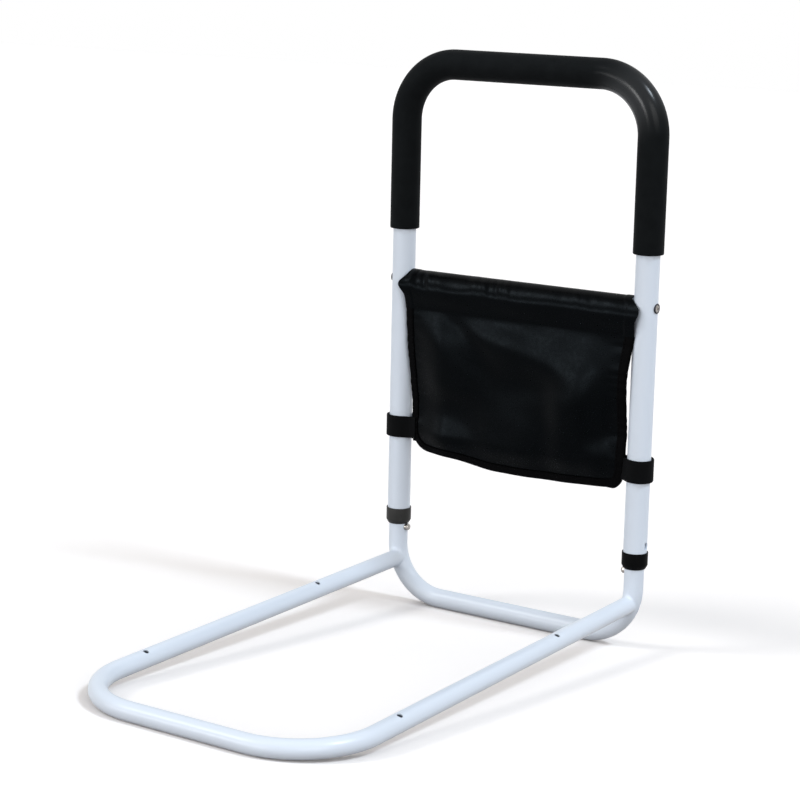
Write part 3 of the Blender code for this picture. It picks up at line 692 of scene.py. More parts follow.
def finish_piece(obj: Piece, finishes: Sequence[Finish], body: Body,
                 nodes: Iterable[str] = (), placed: bool = False, sharp: float = 35.0) -> Piece:
    """Set a piece on the floor, dress it and hang it on its body.

    Args:
        obj: The finished piece, in the upright frame unless it is placed already.
        finishes: One finish for each of the piece's material slots.
        body: The body that it moves with.
        nodes: CAD nodes that it stands for.
        placed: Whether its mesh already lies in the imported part's frame.
        sharp: Angle in degrees past which an edge stays sharp.

    Returns:
        The same piece.
    """
    if not placed:
        obj.data.transform(STANCE.matrix)
    pick(obj)
    bpy.ops.object.shade_smooth_by_angle(angle=math.radians(sharp))
    obj.data.materials.clear()
    for finish in finishes:
        obj.data.materials.append(finish.material())
    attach(obj, body.value)
    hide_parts(*nodes)
    LOG.info("%s: %d faces on %s", obj.name, len(obj.data.polygons), body.value)
    return obj


@dataclass
class UTube:
    """A round tube bent twice, so that its two ends lie side by side."""

    name: str
    radius: float
    bend: float
    sides: int = 48
    steps: int = 28

    def draw(self, start: Point, first: Point, second: Point, end: Point) -> Bench:
        """Draw the tube through its two corners.

        Args:
            start: Centre of the first end.
            first: First corner, where the two straights would meet.
            second: Second corner.
            end: Centre of the other end.

        Returns:
            The bench that holds the open tube.
        """
        places = [Vector(place) for place in (start, first, second, end)]
        ways = [(after - before).normalized() for before, after in zip(places, places[1:])]
        spans = [(after - before).length for before, after in zip(places, places[1:])]
        bench = Bench(self.name)
        bench.ring(self.radius, self.sides, places[0], ways[0])
        bench.extrude(ways[0] * (spans[0] - self.bend))
        for number in (1, 2):
            before, after = ways[number - 1], ways[number]
            centre = places[number] + (after - before) * self.bend
            bench.spin(centre, before.cross(after), QUARTER_TURN, self.steps)
            trimmed = self.bend * (2 if number == 1 else 1)
            bench.extrude(after * (spans[number] - trimmed))
        bench.face_outwards()
        return bench


def drill(places: Sequence[tuple[Point, Point]], radius: float, sides: int = 32) -> Piece:
    """Drills for a row of holes, joined in one cutter.

    Args:
        places: Start and end point of each drill.
        radius: Radius of the holes.
        sides: Number of sides.

    Returns:
        The cutter, in the upright frame.
    """
    drills = []
    for number, (start, end) in enumerate(places):
        span = Vector(end) - Vector(start)
        bench = Bench(f"drill_{number}")
        turn = span.to_track_quat("Z", "Y").to_euler()
        bpy.ops.mesh.primitive_cylinder_add(vertices=sides, radius=radius, depth=span.length,
                                            location=(Vector(start) + Vector(end)) / 2, rotation=turn)
        bench.take()
        bench.leave()
        drills.append(bench.obj)
    for drill_piece in drills:
        drill_piece.select_set(True)
    bpy.context.view_layer.objects.active = drills[0]
    if len(drills) > 1:
        bpy.ops.object.join()
    return bpy.context.view_layer.objects.active


def leg_line(side: Side, start: float, end: float, height: float) -> tuple[Point, ...]:
    """A drill's ends at one leg, by their distances outwards from the leg's axis."""
    return tuple((side.value * (LAYOUT.leg_x + reach), 0, height) for reach in (start, end))


def turned(name: str, profile: Profile, sides: int = 48, ring: bool = False) -> Bench:
    """Turn a profile about Z by drawing a ring out and scaling it, step by step.

    Args:
        name: The piece's name.
        profile: Points (radius, z); a first or last radius of 0 closes that end.
        sides: Number of sides.
        ring: Whether the profile closes on itself.

    Returns:
        The bench that holds the turned piece.
    """
    points = [(max(radius, POINTED_RADIUS), height) for radius, height in profile]
    if ring:
        points.append(points[0])
    bench = Bench(name)
    bench.ring(points[0][0], sides, (0, 0, points[0][1]), (0, 0, 1))
    for (radius, height), (next_radius, next_height) in zip(points, points[1:]):
        bench.extrude((0, 0, next_height - height))
        factor = next_radius / radius
        bpy.ops.transform.resize(value=(factor, factor, 1), center_override=(0, 0, next_height))
    bench.leave()
    if min(profile)[0] <= 0:
        bench.fill_ends()
    bench.face_outwards()
    return bench


def swing(obj: Piece, place: Point, turn: Matrix = Matrix.Identity(4)) -> None:
    """Turn a piece's mesh about the origin and move it to its place."""
    obj.data.transform(Matrix.Translation(place) @ turn)


def link(name: str, data: bpy.types.ID) -> Piece:
    """Put a mesh, lamp or camera into the scene.

    Args:
        name: The new object's name.
        data: The mesh, lamp or camera.

    Returns:
        The new object.
    """
    obj = bpy.data.objects.new(name, data)
    bpy.context.scene.collection.objects.link(obj)
    return obj


def link_mesh(name: str, shape: bmesh.types.BMesh) -> Piece:
    """Put a drawn shape into the scene and let go of the drawing.

    Args:
        name: The new piece's name.
        shape: The drawn shape.

    Returns:
        The new piece.
    """
    mesh = bpy.data.meshes.new(name)
    shape.to_mesh(mesh)
    shape.free()
    return link(name, mesh)


def stacked(*parts: np.ndarray) -> np.ndarray:
    """Arrays of coordinates brought to one shape and joined as points."""
    return np.stack(np.broadcast_arrays(*parts), -1)


def travelled(line: np.ndarray) -> np.ndarray:
    """Distance along a line of points, from its start to each of them."""
    return np.concatenate([[0], np.linalg.norm(np.diff(line, axis=0), axis=1).cumsum()])


def units(vectors: np.ndarray) -> np.ndarray:
    """A row of vectors, each brought to a length of 1."""
    return vectors / np.linalg.norm(vectors, axis=1, keepdims=True)


def beside(line: np.ndarray) -> np.ndarray:
    """Unit vectors square to a flat line, on the right of somebody who walks along it."""
    ahead = units(np.gradient(line, axis=0))
    return stacked(ahead[:, 1], -ahead[:, 0])


def swept(line: np.ndarray, out: np.ndarray, reach: np.ndarray) -> list[np.ndarray]:
    """Both coordinates of a flat line's points, each moved along its vector by every reach."""
    return [line[:, None, axis] + out[:, None, axis] * reach[None, :] for axis in (0, 1)]


def grid_object(name: str, points: np.ndarray, uvs: np.ndarray, wrap: bool = False,
                capped: bool = False, closed: bool = False) -> Piece:
    """A sheet or a lofted band from a grid of points.

    Args:
        name: The piece's name.
        points: Array (rows, columns, 3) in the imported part's frame.
        uvs: Array (rows, columns, 2) in metres.
        wrap: Whether each row closes on itself.
        capped: Whether the first and last rows are closed with a face.
        closed: Whether the last row meets the first.

    Returns:
        The new object, linked to the scene.
    """
    rows, columns = points.shape[:2]
    shape = bmesh.new()
    layer = shape.loops.layers.uv.new("UVMap")
    grid = [[shape.verts.new(tuple(place)) for place in row] for row in points]
    last_row = rows if closed else rows - 1
    last_column = columns if wrap else columns - 1
    for row in range(last_row):
        for column in range(last_column):
            corners = [(row, column), (row + 1, column), (row + 1, column + 1), (row, column + 1)]
            face = shape.faces.new([grid[r % rows][c % columns] for r, c in corners])
            for loop, (r, c) in zip(face.loops, corners):
                u, v = uvs[min(r, rows - 1), min(c, columns - 1)]
                loop[layer].uv = (u, v)
    if capped:
        shape.faces.new(grid[0])
        shape.faces.new(grid[-1][::-1])
    bmesh.ops.recalc_face_normals(shape, faces=shape.faces)
    return link_mesh(name, shape)


def on_bench(obj: Piece) -> Bench:
    """Put a ready object on the bench, for modifiers.

    Args:
        obj: The object.

    Returns:
        The bench that holds it.
    """
    bench = Bench(obj.name)
    bench.obj = obj
    bench.leave()
    return bench


@dataclass
class Handle:
    """The inverted U that slides on the lower frame: its tube, foam grip and collars."""

    foot: float = 0.0437
    hole_radius: float = 0.004
    hole_height: float = 0.066
    screw_hole_radius: float = 0.0028
    foam_wall: float = 0.00325
    foam_edge: float = 0.0010
    collar_wall: float = 0.001
    collar_lip: float = 0.003
    collar_chamfer: float = 0.004
    collar_foot_wall: float = 0.0006
    collar_edge: float = 0.00035
    slide_gap: float = 0.00055

    def path(self, end: float) -> Path:
        """Start, corners and end of a line up one leg, over the top and down the other."""
        leg, top = LAYOUT.leg_x, LAYOUT.handle_height
        return (-leg, 0, end), (-leg, 0, top), (leg, 0, top), (leg, 0, end)

    def build_tube(self) -> None:
        """The bent tube, with its side holes and the crossbar's screw holes."""
        bench = UTube("handle_tube", LAYOUT.upper_radius, LAYOUT.handle_bend).draw(*self.path(self.foot))
        bench.hollow(LAYOUT.upper_wall)
        reach = 2 * LAYOUT.upper_radius
        bench.cut(drill([leg_line(side, 0, reach, self.hole_height) for side in Side], self.hole_radius))
        screws = [leg_line(side, -reach, reach, LAYOUT.crossbar_height) for side in Side]
        bench.cut(drill(screws, self.screw_hole_radius))
        finish_piece(bench.obj, [WHITE_PAINT, TUBE_BORE_STEEL_AND_SHADE], Body.UPPER, ["upper_frame_tube"])

    def build_grip(self) -> None:
        """The foam sleeve over the top bar and the upper legs, its ends softly rounded."""
        outer = LAYOUT.upper_radius + TOUCH_GAP + self.foam_wall
        sleeve = UTube("foam_sleeve", outer, LAYOUT.handle_bend, sides=72, steps=36)
        bench = sleeve.draw(*self.path(LAYOUT.grip_end))
        bench.modify("SOLIDIFY", thickness=self.foam_wall, offset=-1)
        bench.bevel(self.foam_edge, angle=50)
        grip = finish_piece(bench.obj, [GRIP_FOAM], Body.UPPER, ["foam_grip"], sharp=60)

    def build_collars(self) -> None:
        """The plastic collar at each leg's foot, with its chamfered lip."""
        outer = LAYOUT.upper_radius + TOUCH_GAP + self.collar_wall
        bore = LAYOUT.lower_radius + self.slide_gap
        bottom, top = LAYOUT.collar_bottom, LAYOUT.collar_top
        profile = [(outer, top), (outer, bottom + self.collar_chamfer),
                   (bore + self.collar_foot_wall, bottom), (bore, bottom), (bore, bottom + self.collar_lip),
                   (LAYOUT.upper_radius + TOUCH_GAP, bottom + self.collar_lip),
                   (LAYOUT.upper_radius + TOUCH_GAP, top)]
        # Left collar: lighter copy of the plastic, painted light; right collar: darker copy, painted shade.
        for side, finish in ((Side.LEFT, COLLAR_PAINTED_LIT), (Side.RIGHT, COLLAR_PAINTED_SHADE)):
            bench = turned(f"{side.label}_leg_collar", profile, sides=64, ring=True)
            bench.bevel(self.collar_edge, angle=25)
            swing(bench.obj, (side.value * LAYOUT.leg_x, 0, 0))
            finish_piece(bench.obj, [finish], Body.UPPER, [f"{side.label}_collar"])

    def build(self) -> None:
        """Build the whole handle."""
        self.build_tube()
        self.build_grip()
        self.build_collars()


@dataclass
class BaseFrame:
    """The lower U with its button holes, the base U with its rail holes, and their welds."""

    lower_bend: float = 0.057
    bar_drop: float = 0.040
    setting_pitch: float = 0.025
    settings: int = 5
    button_hole_radius: float = 0.0043
    base_radius: float = 0.0095
    base_wall: float = 0.0012
    base_bend: float = 0.083
    reach: float = 0.572
    rail_hole_radius: float = 0.0030
    rail_hole_near: float = 0.166
    rail_hole_far: float = 0.453
    rail_hole_turn: float = 20.0
    fillet_along: float = 0.0042
    fillet_across: float = 0.0012
    ripple: float = 0.00005
    ripples: int = 26
    weld_sides: int = 120
    weld_rows: int = 11
    weld_skin: float = 0.00004
    weld_root: float = 0.0006

    @property
    def bend_rise(self) -> float:
        """Height of the lower bends' centres above the rails."""
        return self.lower_bend - self.bar_drop

    @property
    def rail_x(self) -> float:
        """Distance of the rails from the middle, where they meet the lower bends."""
        return LAYOUT.leg_x - self.lower_bend + math.sqrt(self.lower_bend ** 2 - self.bend_rise ** 2)

    def lower_path(self) -> Path:
        """Down one leg, along the lower bar and up the other leg."""
        leg, top, bar = LAYOUT.leg_x, LAYOUT.lower_leg_top, -self.bar_drop
        return (-leg, 0, top), (-leg, 0, bar), (leg, 0, bar), (leg, 0, top)

    def build_lower_tube(self) -> None:
        """The lower U, drilled on the inner side of each leg for the height settings."""
        bench = UTube("lower_tube", LAYOUT.lower_radius, self.lower_bend).draw(*self.lower_path())
        bench.hollow(LAYOUT.lower_wall)
        heights = [LAYOUT.button_height + row * self.setting_pitch for row in range(self.settings)]
        places = [leg_line(side, 0, -2 * LAYOUT.lower_radius, height) for side in Side for height in heights]
        bench.cut(drill(places, self.button_hole_radius, sides=24))
        finish_piece(bench.obj, [RUBBED_PAINT, TUBE_BORE_STEEL_AND_SHADE], Body.LOWER, ["lower_frame_tube"])

    def build_base_tube(self) -> None:
        """The U on the ground, its ends coped to the lower U, with two holes in each rail."""
        rail, reach = self.rail_x, self.reach
        bench = UTube("base_tube", self.base_radius, self.base_bend).draw(
            (-rail, 0, 0), (-rail, -reach, 0), (rail, -reach, 0), (rail, 0, 0))
        bench.hollow(self.base_wall)
        envelope = UTube("envelope", LAYOUT.lower_radius + TOUCH_GAP, self.lower_bend)
        around = envelope.draw(*self.lower_path())
        around.fill_ends()
        bench.cut(around.obj)
        turn = math.radians(self.rail_hole_turn)
        over, up = 2 * self.base_radius * math.sin(turn), 2 * self.base_radius * math.cos(turn)
        places = [((s.value * rail, -along, 0), (s.value * rail + over, -along, up))
                  for s in Side for along in (self.rail_hole_near, self.rail_hole_far)]
        bench.cut(drill(places, self.rail_hole_radius))
        finish_piece(bench.obj, [WHITE_PAINT, TUBE_BORE_STEEL_AND_SHADE], Body.LOWER, ["base_frame_tube"])

    def meeting(self, angle: np.ndarray, from_rail: np.ndarray, from_leg: float) -> np.ndarray:
        """Where a cylinder round the rail's axis meets a shell round the right leg's bend.

        Args:
            angle: Angles round the rail, from +X towards +Z.
            from_rail: The cylinder's radius at each angle.
            from_leg: The shell's radius.

        Returns:
            Points (angles, 3).
        """
        x = self.rail_x + from_rail * np.cos(angle)
        z = from_rail * np.sin(angle)
        offset = np.hypot(x - (LAYOUT.leg_x - self.lower_bend), z - self.bend_rise) - self.lower_bend
        y = -np.sqrt(np.maximum(from_leg ** 2 - offset ** 2, 0))
        return stacked(x, y, z)

    def build_welds(self) -> None:
        """A painted fillet with faint ripples round each rail's end."""
        angle = np.arange(self.weld_sides) * 2 * math.pi / self.weld_sides
        reach = self.fillet_across + (self.fillet_along - self.fillet_across) * np.sin(angle) ** 2
        base, leg = self.base_radius + self.weld_skin, LAYOUT.lower_radius + self.weld_skin
        joint = self.meeting(angle, np.full_like(angle, base), leg)
        on_rail = joint - np.array([0, 1, 0]) * reach[:, None]
        on_leg = self.meeting(angle, base + reach, leg)
        root = self.meeting(angle, np.full_like(angle, base - self.weld_root), leg - self.weld_root)
        ripple = self.ripple * (1 + np.cos(angle * self.ripples))
        shares = np.linspace(0, 1, self.weld_rows)
        band = np.stack([on_rail * (1 - t) ** 2 + joint * 2 * t * (1 - t) + on_leg * t ** 2
                         for t in shares], 1)
        lift = np.sin(math.pi * shares)[None, :, None] * ripple[:, None, None]
        away = (on_rail + on_leg) / 2 - joint
        away /= np.maximum(np.linalg.norm(away, axis=1, keepdims=True), 1e-9)
        rings = np.concatenate([band + lift * away[:, None, :], root[:, None, :]], 1)
        uvs = np.zeros(rings.shape[:2] + (2,))
        for side in Side:
            placed = STANCE.place(rings * [side.value, 1, 1])
            bead = grid_object(f"{side.label}_weld_fillet", placed, uvs, wrap=True, closed=True)
            finish_piece(bead, [WHITE_PAINT], Body.LOWER, [f"{side.label}_base_weld"],
                         placed=True, sharp=70)

    def build(self) -> None:
        """Build the lower U, the base U and the welds."""
        self.build_lower_tube()
        self.build_base_tube()
        self.build_welds()


@dataclass
class SnapButtons:
    """The domed buttons under the collars, each on its own body."""

    radius: float = 0.004
    proud: float = 0.0047
    dome: float = 0.0033
    flange_radius: float = 0.005
    flange_thickness: float = 0.001
    flange_face: float = 0.00727
    dome_steps: int = 10

    def profile(self) -> Profile:
        """Dome, shank and flange.

        Returns:
            Points (radius, height), the heights measured out from the leg's axis.
        """
        tip = LAYOUT.lower_radius + self.proud
        angles = [QUARTER_TURN * step / self.dome_steps for step in range(self.dome_steps + 1)]
        dome = [(self.radius * math.sin(a), tip - self.dome * (1 - math.cos(a))) for a in angles]
        back = self.flange_face - self.flange_thickness
        return dome + [(self.radius, self.flange_face), (self.flange_radius, self.flange_face),
                       (self.flange_radius, back), (0, back)]

    def build(self) -> None:
        """Turn a button for each leg and point it inwards."""
        for side, body in ((Side.LEFT, Body.LEFT_BUTTON), (Side.RIGHT, Body.RIGHT_BUTTON)):
            bench = turned(f"{side.label}_button", self.profile(), sides=40)
            turn = Matrix.Rotation(-side.value * QUARTER_TURN, 4, "Y")
            swing(bench.obj, (side.value * LAYOUT.leg_x, 0, LAYOUT.button_height), turn)
            finish_piece(bench.obj, [BUTTON_STEEL_WITH_DARK_REFLECTION], body, [f"{side.label}_snap_button"])


def rounded_line(corners: Profile, radii: Sequence[float], steps: int = 8) -> np.ndarray:
    """A line through corners that are turned with arcs.

    Args:
        corners: Points (x, z), both ends included.
        radii: The arc's radius at each inner corner.
        steps: Number of pieces in each arc.

    Returns:
        Array (points, 2).
    """
    points = np.array(corners, float)
    line = [points[0]]
    for before, corner, after, radius in zip(points, points[1:], points[2:], radii):
        back, on = units(np.array([before - corner, after - corner]))
        middle = (back + on) / np.linalg.norm(back + on)
        half = math.acos(float(back @ middle))
        centre = corner + middle * radius / math.sin(half)
        start, end = (corner + way * radius / math.tan(half) - centre for way in (back, on))
        first = math.atan2(start[1], start[0])
        swept_angle = (math.atan2(end[1], end[0]) - first + math.pi) % FULL_TURN - math.pi
        angles = [first + swept_angle * step / steps for step in range(steps + 1)]
        line.extend(centre + radius * np.array([math.cos(a), math.sin(a)]) for a in angles)
    line.append(points[-1])
    return np.array(line)


@dataclass
class LeafSprings:
    """The folded leaf behind each snap button, which closes up as its button is pressed."""

    thickness: float = 0.0005
    width: float = 0.0075
    near_leaf: float = 0.00572
    far_leaf: float = 0.00771
    tail: float = 0.0085
    rise: float = 0.046
    fold_radius: float = 0.0020
    bend_radius: float = 0.023
    press: float = 0.0051

    def line(self) -> np.ndarray:
        """The spring's side view: up behind the button, over and down.

        Returns:
            Array (points, 2) of (x, z) about the button's axis.
        """
        bend = self.width * 2 / 3
        corners = [(self.near_leaf, -self.tail / 2), (self.near_leaf, bend), (0.0, self.rise),
                   (-self.far_leaf, 2 * bend), (-self.far_leaf, -self.tail)]
        return rounded_line(corners, [self.bend_radius, self.fold_radius, self.bend_radius])

    def build(self) -> None:
        """Fold a strip for each leg and thicken it."""
        line = self.line()
        across = np.array([[-self.width / 2, self.width / 2]])
        uvs = stacked(travelled(line)[:, None], across)
        for side in Side:
            x = side.value * (LAYOUT.leg_x - line[:, None, 0])
            points = stacked(x, across, LAYOUT.button_height + line[:, None, 1])
            strip = grid_object(f"{side.label}_leaf_spring", STANCE.place(points), uvs)
            bench = on_bench(strip)
            bench.modify("SOLIDIFY", thickness=self.thickness, offset=0)
            spring = finish_piece(bench.obj, [SPRING_STEEL], Body.LOWER,
                                  [f"{side.label}_snap_spring"], placed=True)
            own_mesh(spring)


@dataclass
class CrossbarFasteners:
    """The screw and cup washer that hold each end of the crossbar."""

    screw_radius: float = 0.0025
    head_radius: float = 0.0040
    head_dome: float = 0.0009
    socket_radius: float = 0.00165
    socket_depth: float = 0.0010
    washer_radius: float = 0.0055
    washer_rim: float = 0.0009
    seat: float = 0.0004
    shank: float = 0.0374
    dome_steps: int = 8
    washer_edge: float = 0.00015

    def washer_profile(self) -> Profile:
        """Section of the cup.

        Returns:
            Points (radius, height), the heights measured out from the leg's surface.
        """
        bore, cup, rim = self.screw_radius + TOUCH_GAP, self.head_radius + TOUCH_GAP, self.washer_radius
        foot = -(LAYOUT.upper_radius - math.sqrt(LAYOUT.upper_radius ** 2 - rim ** 2)) - TOUCH_GAP
        top = self.washer_rim
        return [(cup, top), (rim - top / 2, top), (rim, top / 2), (rim, foot), (bore, foot),
                (bore, -TOUCH_GAP), (cup, -TOUCH_GAP)]

    def screw_profile(self) -> Profile:
        """Raised head and shank.

        Returns:
            Points (radius, height), the heights measured out from the leg's surface.
        """
        angles = [QUARTER_TURN * step / self.dome_steps for step in range(self.dome_steps + 1)]
        dome = [(self.head_radius * math.sin(a), self.seat + self.head_dome * math.cos(a)) for a in angles]
        return dome + [(self.head_radius, self.seat / 2), (self.screw_radius, self.seat / 2),
                       (self.screw_radius, -self.shank), (0, -self.shank - self.screw_radius / 2)]

    def build(self) -> None:
        """Turn, cut and place both screws and both washers."""
        height, span = LAYOUT.crossbar_height, 2 * LAYOUT.upper_radius
        for side in Side:
            way, leg = side.value, side.value * LAYOUT.leg_x
            place = (way * (LAYOUT.leg_x + LAYOUT.upper_radius), 0, height)
            turn = Matrix.Rotation(way * QUARTER_TURN, 4, "Y")
            washer = turned(f"{side.label}_washer", self.washer_profile(), ring=True)
            swing(washer.obj, place, turn)
            washer.cut(drill([((leg, 0, height - span), (leg, 0, height + span))],
                             LAYOUT.upper_radius + TOUCH_GAP, sides=96))
            washer.bevel(self.washer_edge, angle=40, segments=2)
            finish_piece(washer.obj, [DARK_STEEL], Body.UPPER,
                         [f"{side.label}_screw_washer"])
            screw = turned(f"{side.label}_screw", self.screw_profile())
            swing(screw.obj, place, turn)
            face, depth = place[0] + way * (self.seat + self.head_dome), way * self.socket_depth
            screw.cut(drill([((face - depth, 0, height), (face + depth, 0, height))],
                            self.socket_radius, sides=6))
            finish_piece(screw.obj, [BUTTON_STEEL_WITH_DARK_REFLECTION], Body.UPPER,
                         [f"{side.label}_crossbar_screw"])


def smooth(share: np.ndarray) -> np.ndarray:
    """A share from 0 to 1, clamped and eased at both ends."""
    held = np.clip(share, 0, 1)
    return held * held * (3 - 2 * held)


def hump(place: np.ndarray, middle: float, reach: float) -> np.ndarray:
    """A soft hump of height 1 about a middle."""
    return np.exp(-((place - middle) / reach) ** 2)


@dataclass(frozen=True)
class Fold:
    """One soft lit or shaded area of the hanging cloth.

    across and down say where its middle is, as shares of the pouch; length and width are its half
    sizes as such shares, turn its slant in degrees, and slope how far the cloth tips there.
    """

    across: float
    down: float
    length: float
    width: float
    turn: float
    slope: float
    crisp: float = 1.0

    def tip(self, across: np.ndarray, down: np.ndarray) -> np.ndarray:
        """Slope that this fold gives; a crisp fold keeps its slope up to its edge.

        Args:
            across: Places across the pouch, as shares.
            down: Places down the pouch, as shares.

        Returns:
            The slope at each place.
        """
        angle = math.radians(self.turn)
        x, y = across - self.across, down - self.down
        along = (x * math.cos(angle) + y * math.sin(angle)) / self.length
        over = (y * math.cos(angle) - x * math.sin(angle)) / self.width
        return self.slope * np.exp(-(along ** 2 + over ** 2) ** self.crisp)


@dataclass
class PouchShape:
    """Outline and folds of the pouch, in the frame it hangs in, and its place in the rail.

    right_reach and left_reach say how far each side stands out, by the height above the seam. The
    waves hold the factors of x and z in their sines.
    """

    plane_y: float = -0.0121
    seam_height: float = 0.2915
    lean: float = 3.4
    height: float = 0.1715
    sag: float = 0.0055
    half_foot: float = 0.1350
    half_top: float = 0.1387
    corner: float = 0.024
    cloth: float = 0.0011
    step: float = 0.0015
    tape: float = 0.0008
    binding: float = 0.0095
    folds: tuple[Fold, ...] = (
        Fold(0.71, 0.12, 0.42, 0.14, 3.0, 0.24, 2.2),
        Fold(0.79, 0.33, 0.12, 0.14, 12.0, 0.22, 1.8),
        Fold(0.38, 0.07, 0.2, 0.07, 10.0, 0.15, 1.4),
        Fold(0.46, 0.27, 0.26, 0.1, 16.0, -0.17, 2.2),
        Fold(0.29, 0.11, 0.14, 0.035, 45.0, -0.14, 1.6),
        Fold(0.21, 0.15, 0.3, 0.09, 52.0, 0.27, 1.7),
        Fold(0.04, 0.34, 0.1, 0.09, 30.0, -0.1, 1.4),
        Fold(0.19, 0.54, 0.2, 0.07, 0.0, -0.22, 1.8),
        Fold(0.92, 0.48, 0.16, 0.13, -35.0, -0.14, 1.4),
        Fold(0.17, 0.77, 0.19, 0.11, 22.0, 0.3, 1.6),
        Fold(0.14, 0.93, 0.12, 0.05, 10.0, -0.12, 1.2),
        Fold(0.49, 0.63, 0.21, 0.21, -30.0, 0.15, 1.5),
        Fold(0.61, 0.46, 0.16, 0.06, -10.0, 0.09, 1.4),
        Fold(0.92, 0.7, 0.1, 0.07, -14.0, 0.3, 1.6),
        Fold(0.77, 0.61, 0.17, 0.12, -35.0, -0.12, 1.4),
        Fold(0.62, 0.92, 0.4, 0.1, 0.0, -0.14, 1.6),
    )
    side_hold: float = 0.20
    side_slack: float = 0.74
    foot_hold: float = 0.20
    foot_slack: float = 0.38
    relief_steps: int = 40
    relief_end: float = 1.05
    right_reach: tuple[tuple[float, float], ...] = (
        (-0.175, 0.0024), (-0.12, 0.0024), (-0.08, 0.0018), (-0.05, 0.0015), (-0.03, 0.0030),
        (-0.02, 0.0042), (-0.01, 0.0056), (0.0, 0.0074), (0.012, 0.0090), (0.024, 0.0110), (0.036, 0.0095),
        (0.045, 0.0040))
    left_reach: tuple[tuple[float, float], ...] = (
        (-0.175, -0.0030), (-0.12, -0.0027), (-0.09, -0.0018), (-0.06, -0.0008), (-0.03, 0.0), (0.05, 0.0))
    back_fade: float = 0.010
    pull_power: int = 5
    left_lift: float = 0.0052
    lift_start: float = 0.020
    lift_span: float = 0.060
    right_drop: float = 0.0045
    drop_start: tuple[float, float] = (0.113, 0.115)
    drop_span: tuple[float, float] = (0.014, 0.04)
    sag_power: float = 1.7
    pucker: float = 0.00035
    pucker_waves: tuple[float, float] = (520.0, 130.0)
    pucker_start: float = 0.020
    pucker_fade: float = 0.014
    wave: float = 0.0003
    waves: tuple[float, ...] = (95.0, 60.0, 84.0, 33.0)
    seam_fade: float = 0.012

    @property
    def hang(self) -> Matrix:
        """Place of the hanging frame in the upright one."""
        turn = Matrix.Rotation(math.radians(self.lean), 4, "X")
        return Matrix.Translation((0, self.plane_y, self.seam_height)) @ turn

    def drawn(self, points: np.ndarray) -> np.ndarray:
        """Even hanging points drawn to the uneven outline of the real pouch.

        Args:
            points: Any array whose last axis is (x, y, z).

        Returns:
            The moved points, in an array of the same shape.
        """
        x, y, z = points[..., 0], points[..., 1], points[..., 2]
        share = x / self.half_width(z)
        back = np.clip((y + self.step) / self.back_fade, 0, 1) * np.clip(z / self.back_fade, 0, 1)
        moved = points.copy()
        for sign, table in ((1, self.right_reach), (-1, self.left_reach)):
            pull = np.clip(sign * share, 0, 1) ** self.pull_power * (1 - back)
            moved[..., 0] += sign * np.interp(z, *zip(*table)) * pull
        rise = smooth((-self.lift_start - x) / self.lift_span)
        moved[..., 2] += self.left_lift * rise * np.clip(-z / self.height, 0, 1) ** 3
        aside, low = (smooth((reach - start) / span)
                      for reach, start, span in zip((x, -z), self.drop_start, self.drop_span))
        moved[..., 2] -= self.right_drop * aside * low
        return moved

    def world(self, points: np.ndarray) -> np.ndarray:
        """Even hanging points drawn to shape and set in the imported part's frame."""
        turn = np.array(self.hang)
        return STANCE.place(self.drawn(points) @ turn[:3, :3].T + turn[:3, 3])

    def half_width(self, z: np.ndarray) -> np.ndarray:
        """Half width of the pouch at a height below the seam."""
        ends = self.height - self.sag
        return self.half_foot + (self.half_top - self.half_foot) * (1 + np.minimum(z, 0) / ends)

    def foot(self, x: np.ndarray) -> np.ndarray:
        """Height of the pouch's lower edge, corners included.

        Args:
            x: Places across the pouch.

        Returns:
            The edge's height at each place, below the seam.
        """
        ends = self.height - self.sag
        inner = self.half_foot - self.corner
        share = np.clip(np.abs(x) / self.half_foot, 0, 1)
        edge = -self.height + self.sag * share ** self.sag_power
        past = np.clip((np.abs(x) - inner) / self.corner, 0, 1)
        rise = self.corner * (1 - np.sqrt(np.maximum(1 - past ** 2, 0)))
        return np.minimum(edge + rise, -ends + self.corner)

    def outline(self, count: int = 360, steps: int = 60) -> np.ndarray:
        """The pouch's edge, down the right side, along the foot and up the left side.

        Args:
            count: Number of points.
            steps: Number of points that each stretch is first drawn with.

        Returns:
            Evenly spaced points (x, z).
        """
        down = np.linspace(0.0, -(self.height - self.sag - self.corner), steps)
        angle = np.linspace(0, QUARTER_TURN, steps)
        inner = self.half_foot - self.corner
        x = np.concatenate([inner + self.corner * np.cos(angle), np.linspace(inner, 0, steps)[1:]])
        right = np.vstack([stacked(self.half_width(down), down), stacked(x, self.foot(x))[1:]])
        whole = np.vstack([right, right[-2::-1] * [-1, 1]])
        travel = travelled(whole)
        even = np.linspace(0, travel[-1], count)
        return stacked(*(np.interp(even, travel, whole[:, axis]) for axis in (0, 1)))

    def relief(self, x: np.ndarray, z: np.ndarray) -> np.ndarray:
        """How far the cloth stands forward of its plane: its slopes added up from the seam down.

        Args:
            x: Places across the pouch.
            z: Their heights above the seam.

        Returns:
            The distance at each place.
        """
        down = np.clip(-z / self.height, 0, self.relief_end)
        across = 0.5 + x / (2 * self.half_top)
        forward = np.zeros(np.broadcast(x, z).shape)
        for number in range(self.relief_steps):
            at = down * (number + 0.5) / self.relief_steps
            forward += sum(fold.tip(across, at) for fold in self.folds) / self.relief_steps
        side = smooth(np.minimum(across, 1 - across) / self.side_hold)
        foot = smooth((1 - down) / self.foot_hold)
        forward *= down * self.height
        forward *= self.side_slack + (1 - self.side_slack) * side
        forward *= self.foot_slack + (1 - self.foot_slack) * foot
        return forward + self.ripples(x, z)

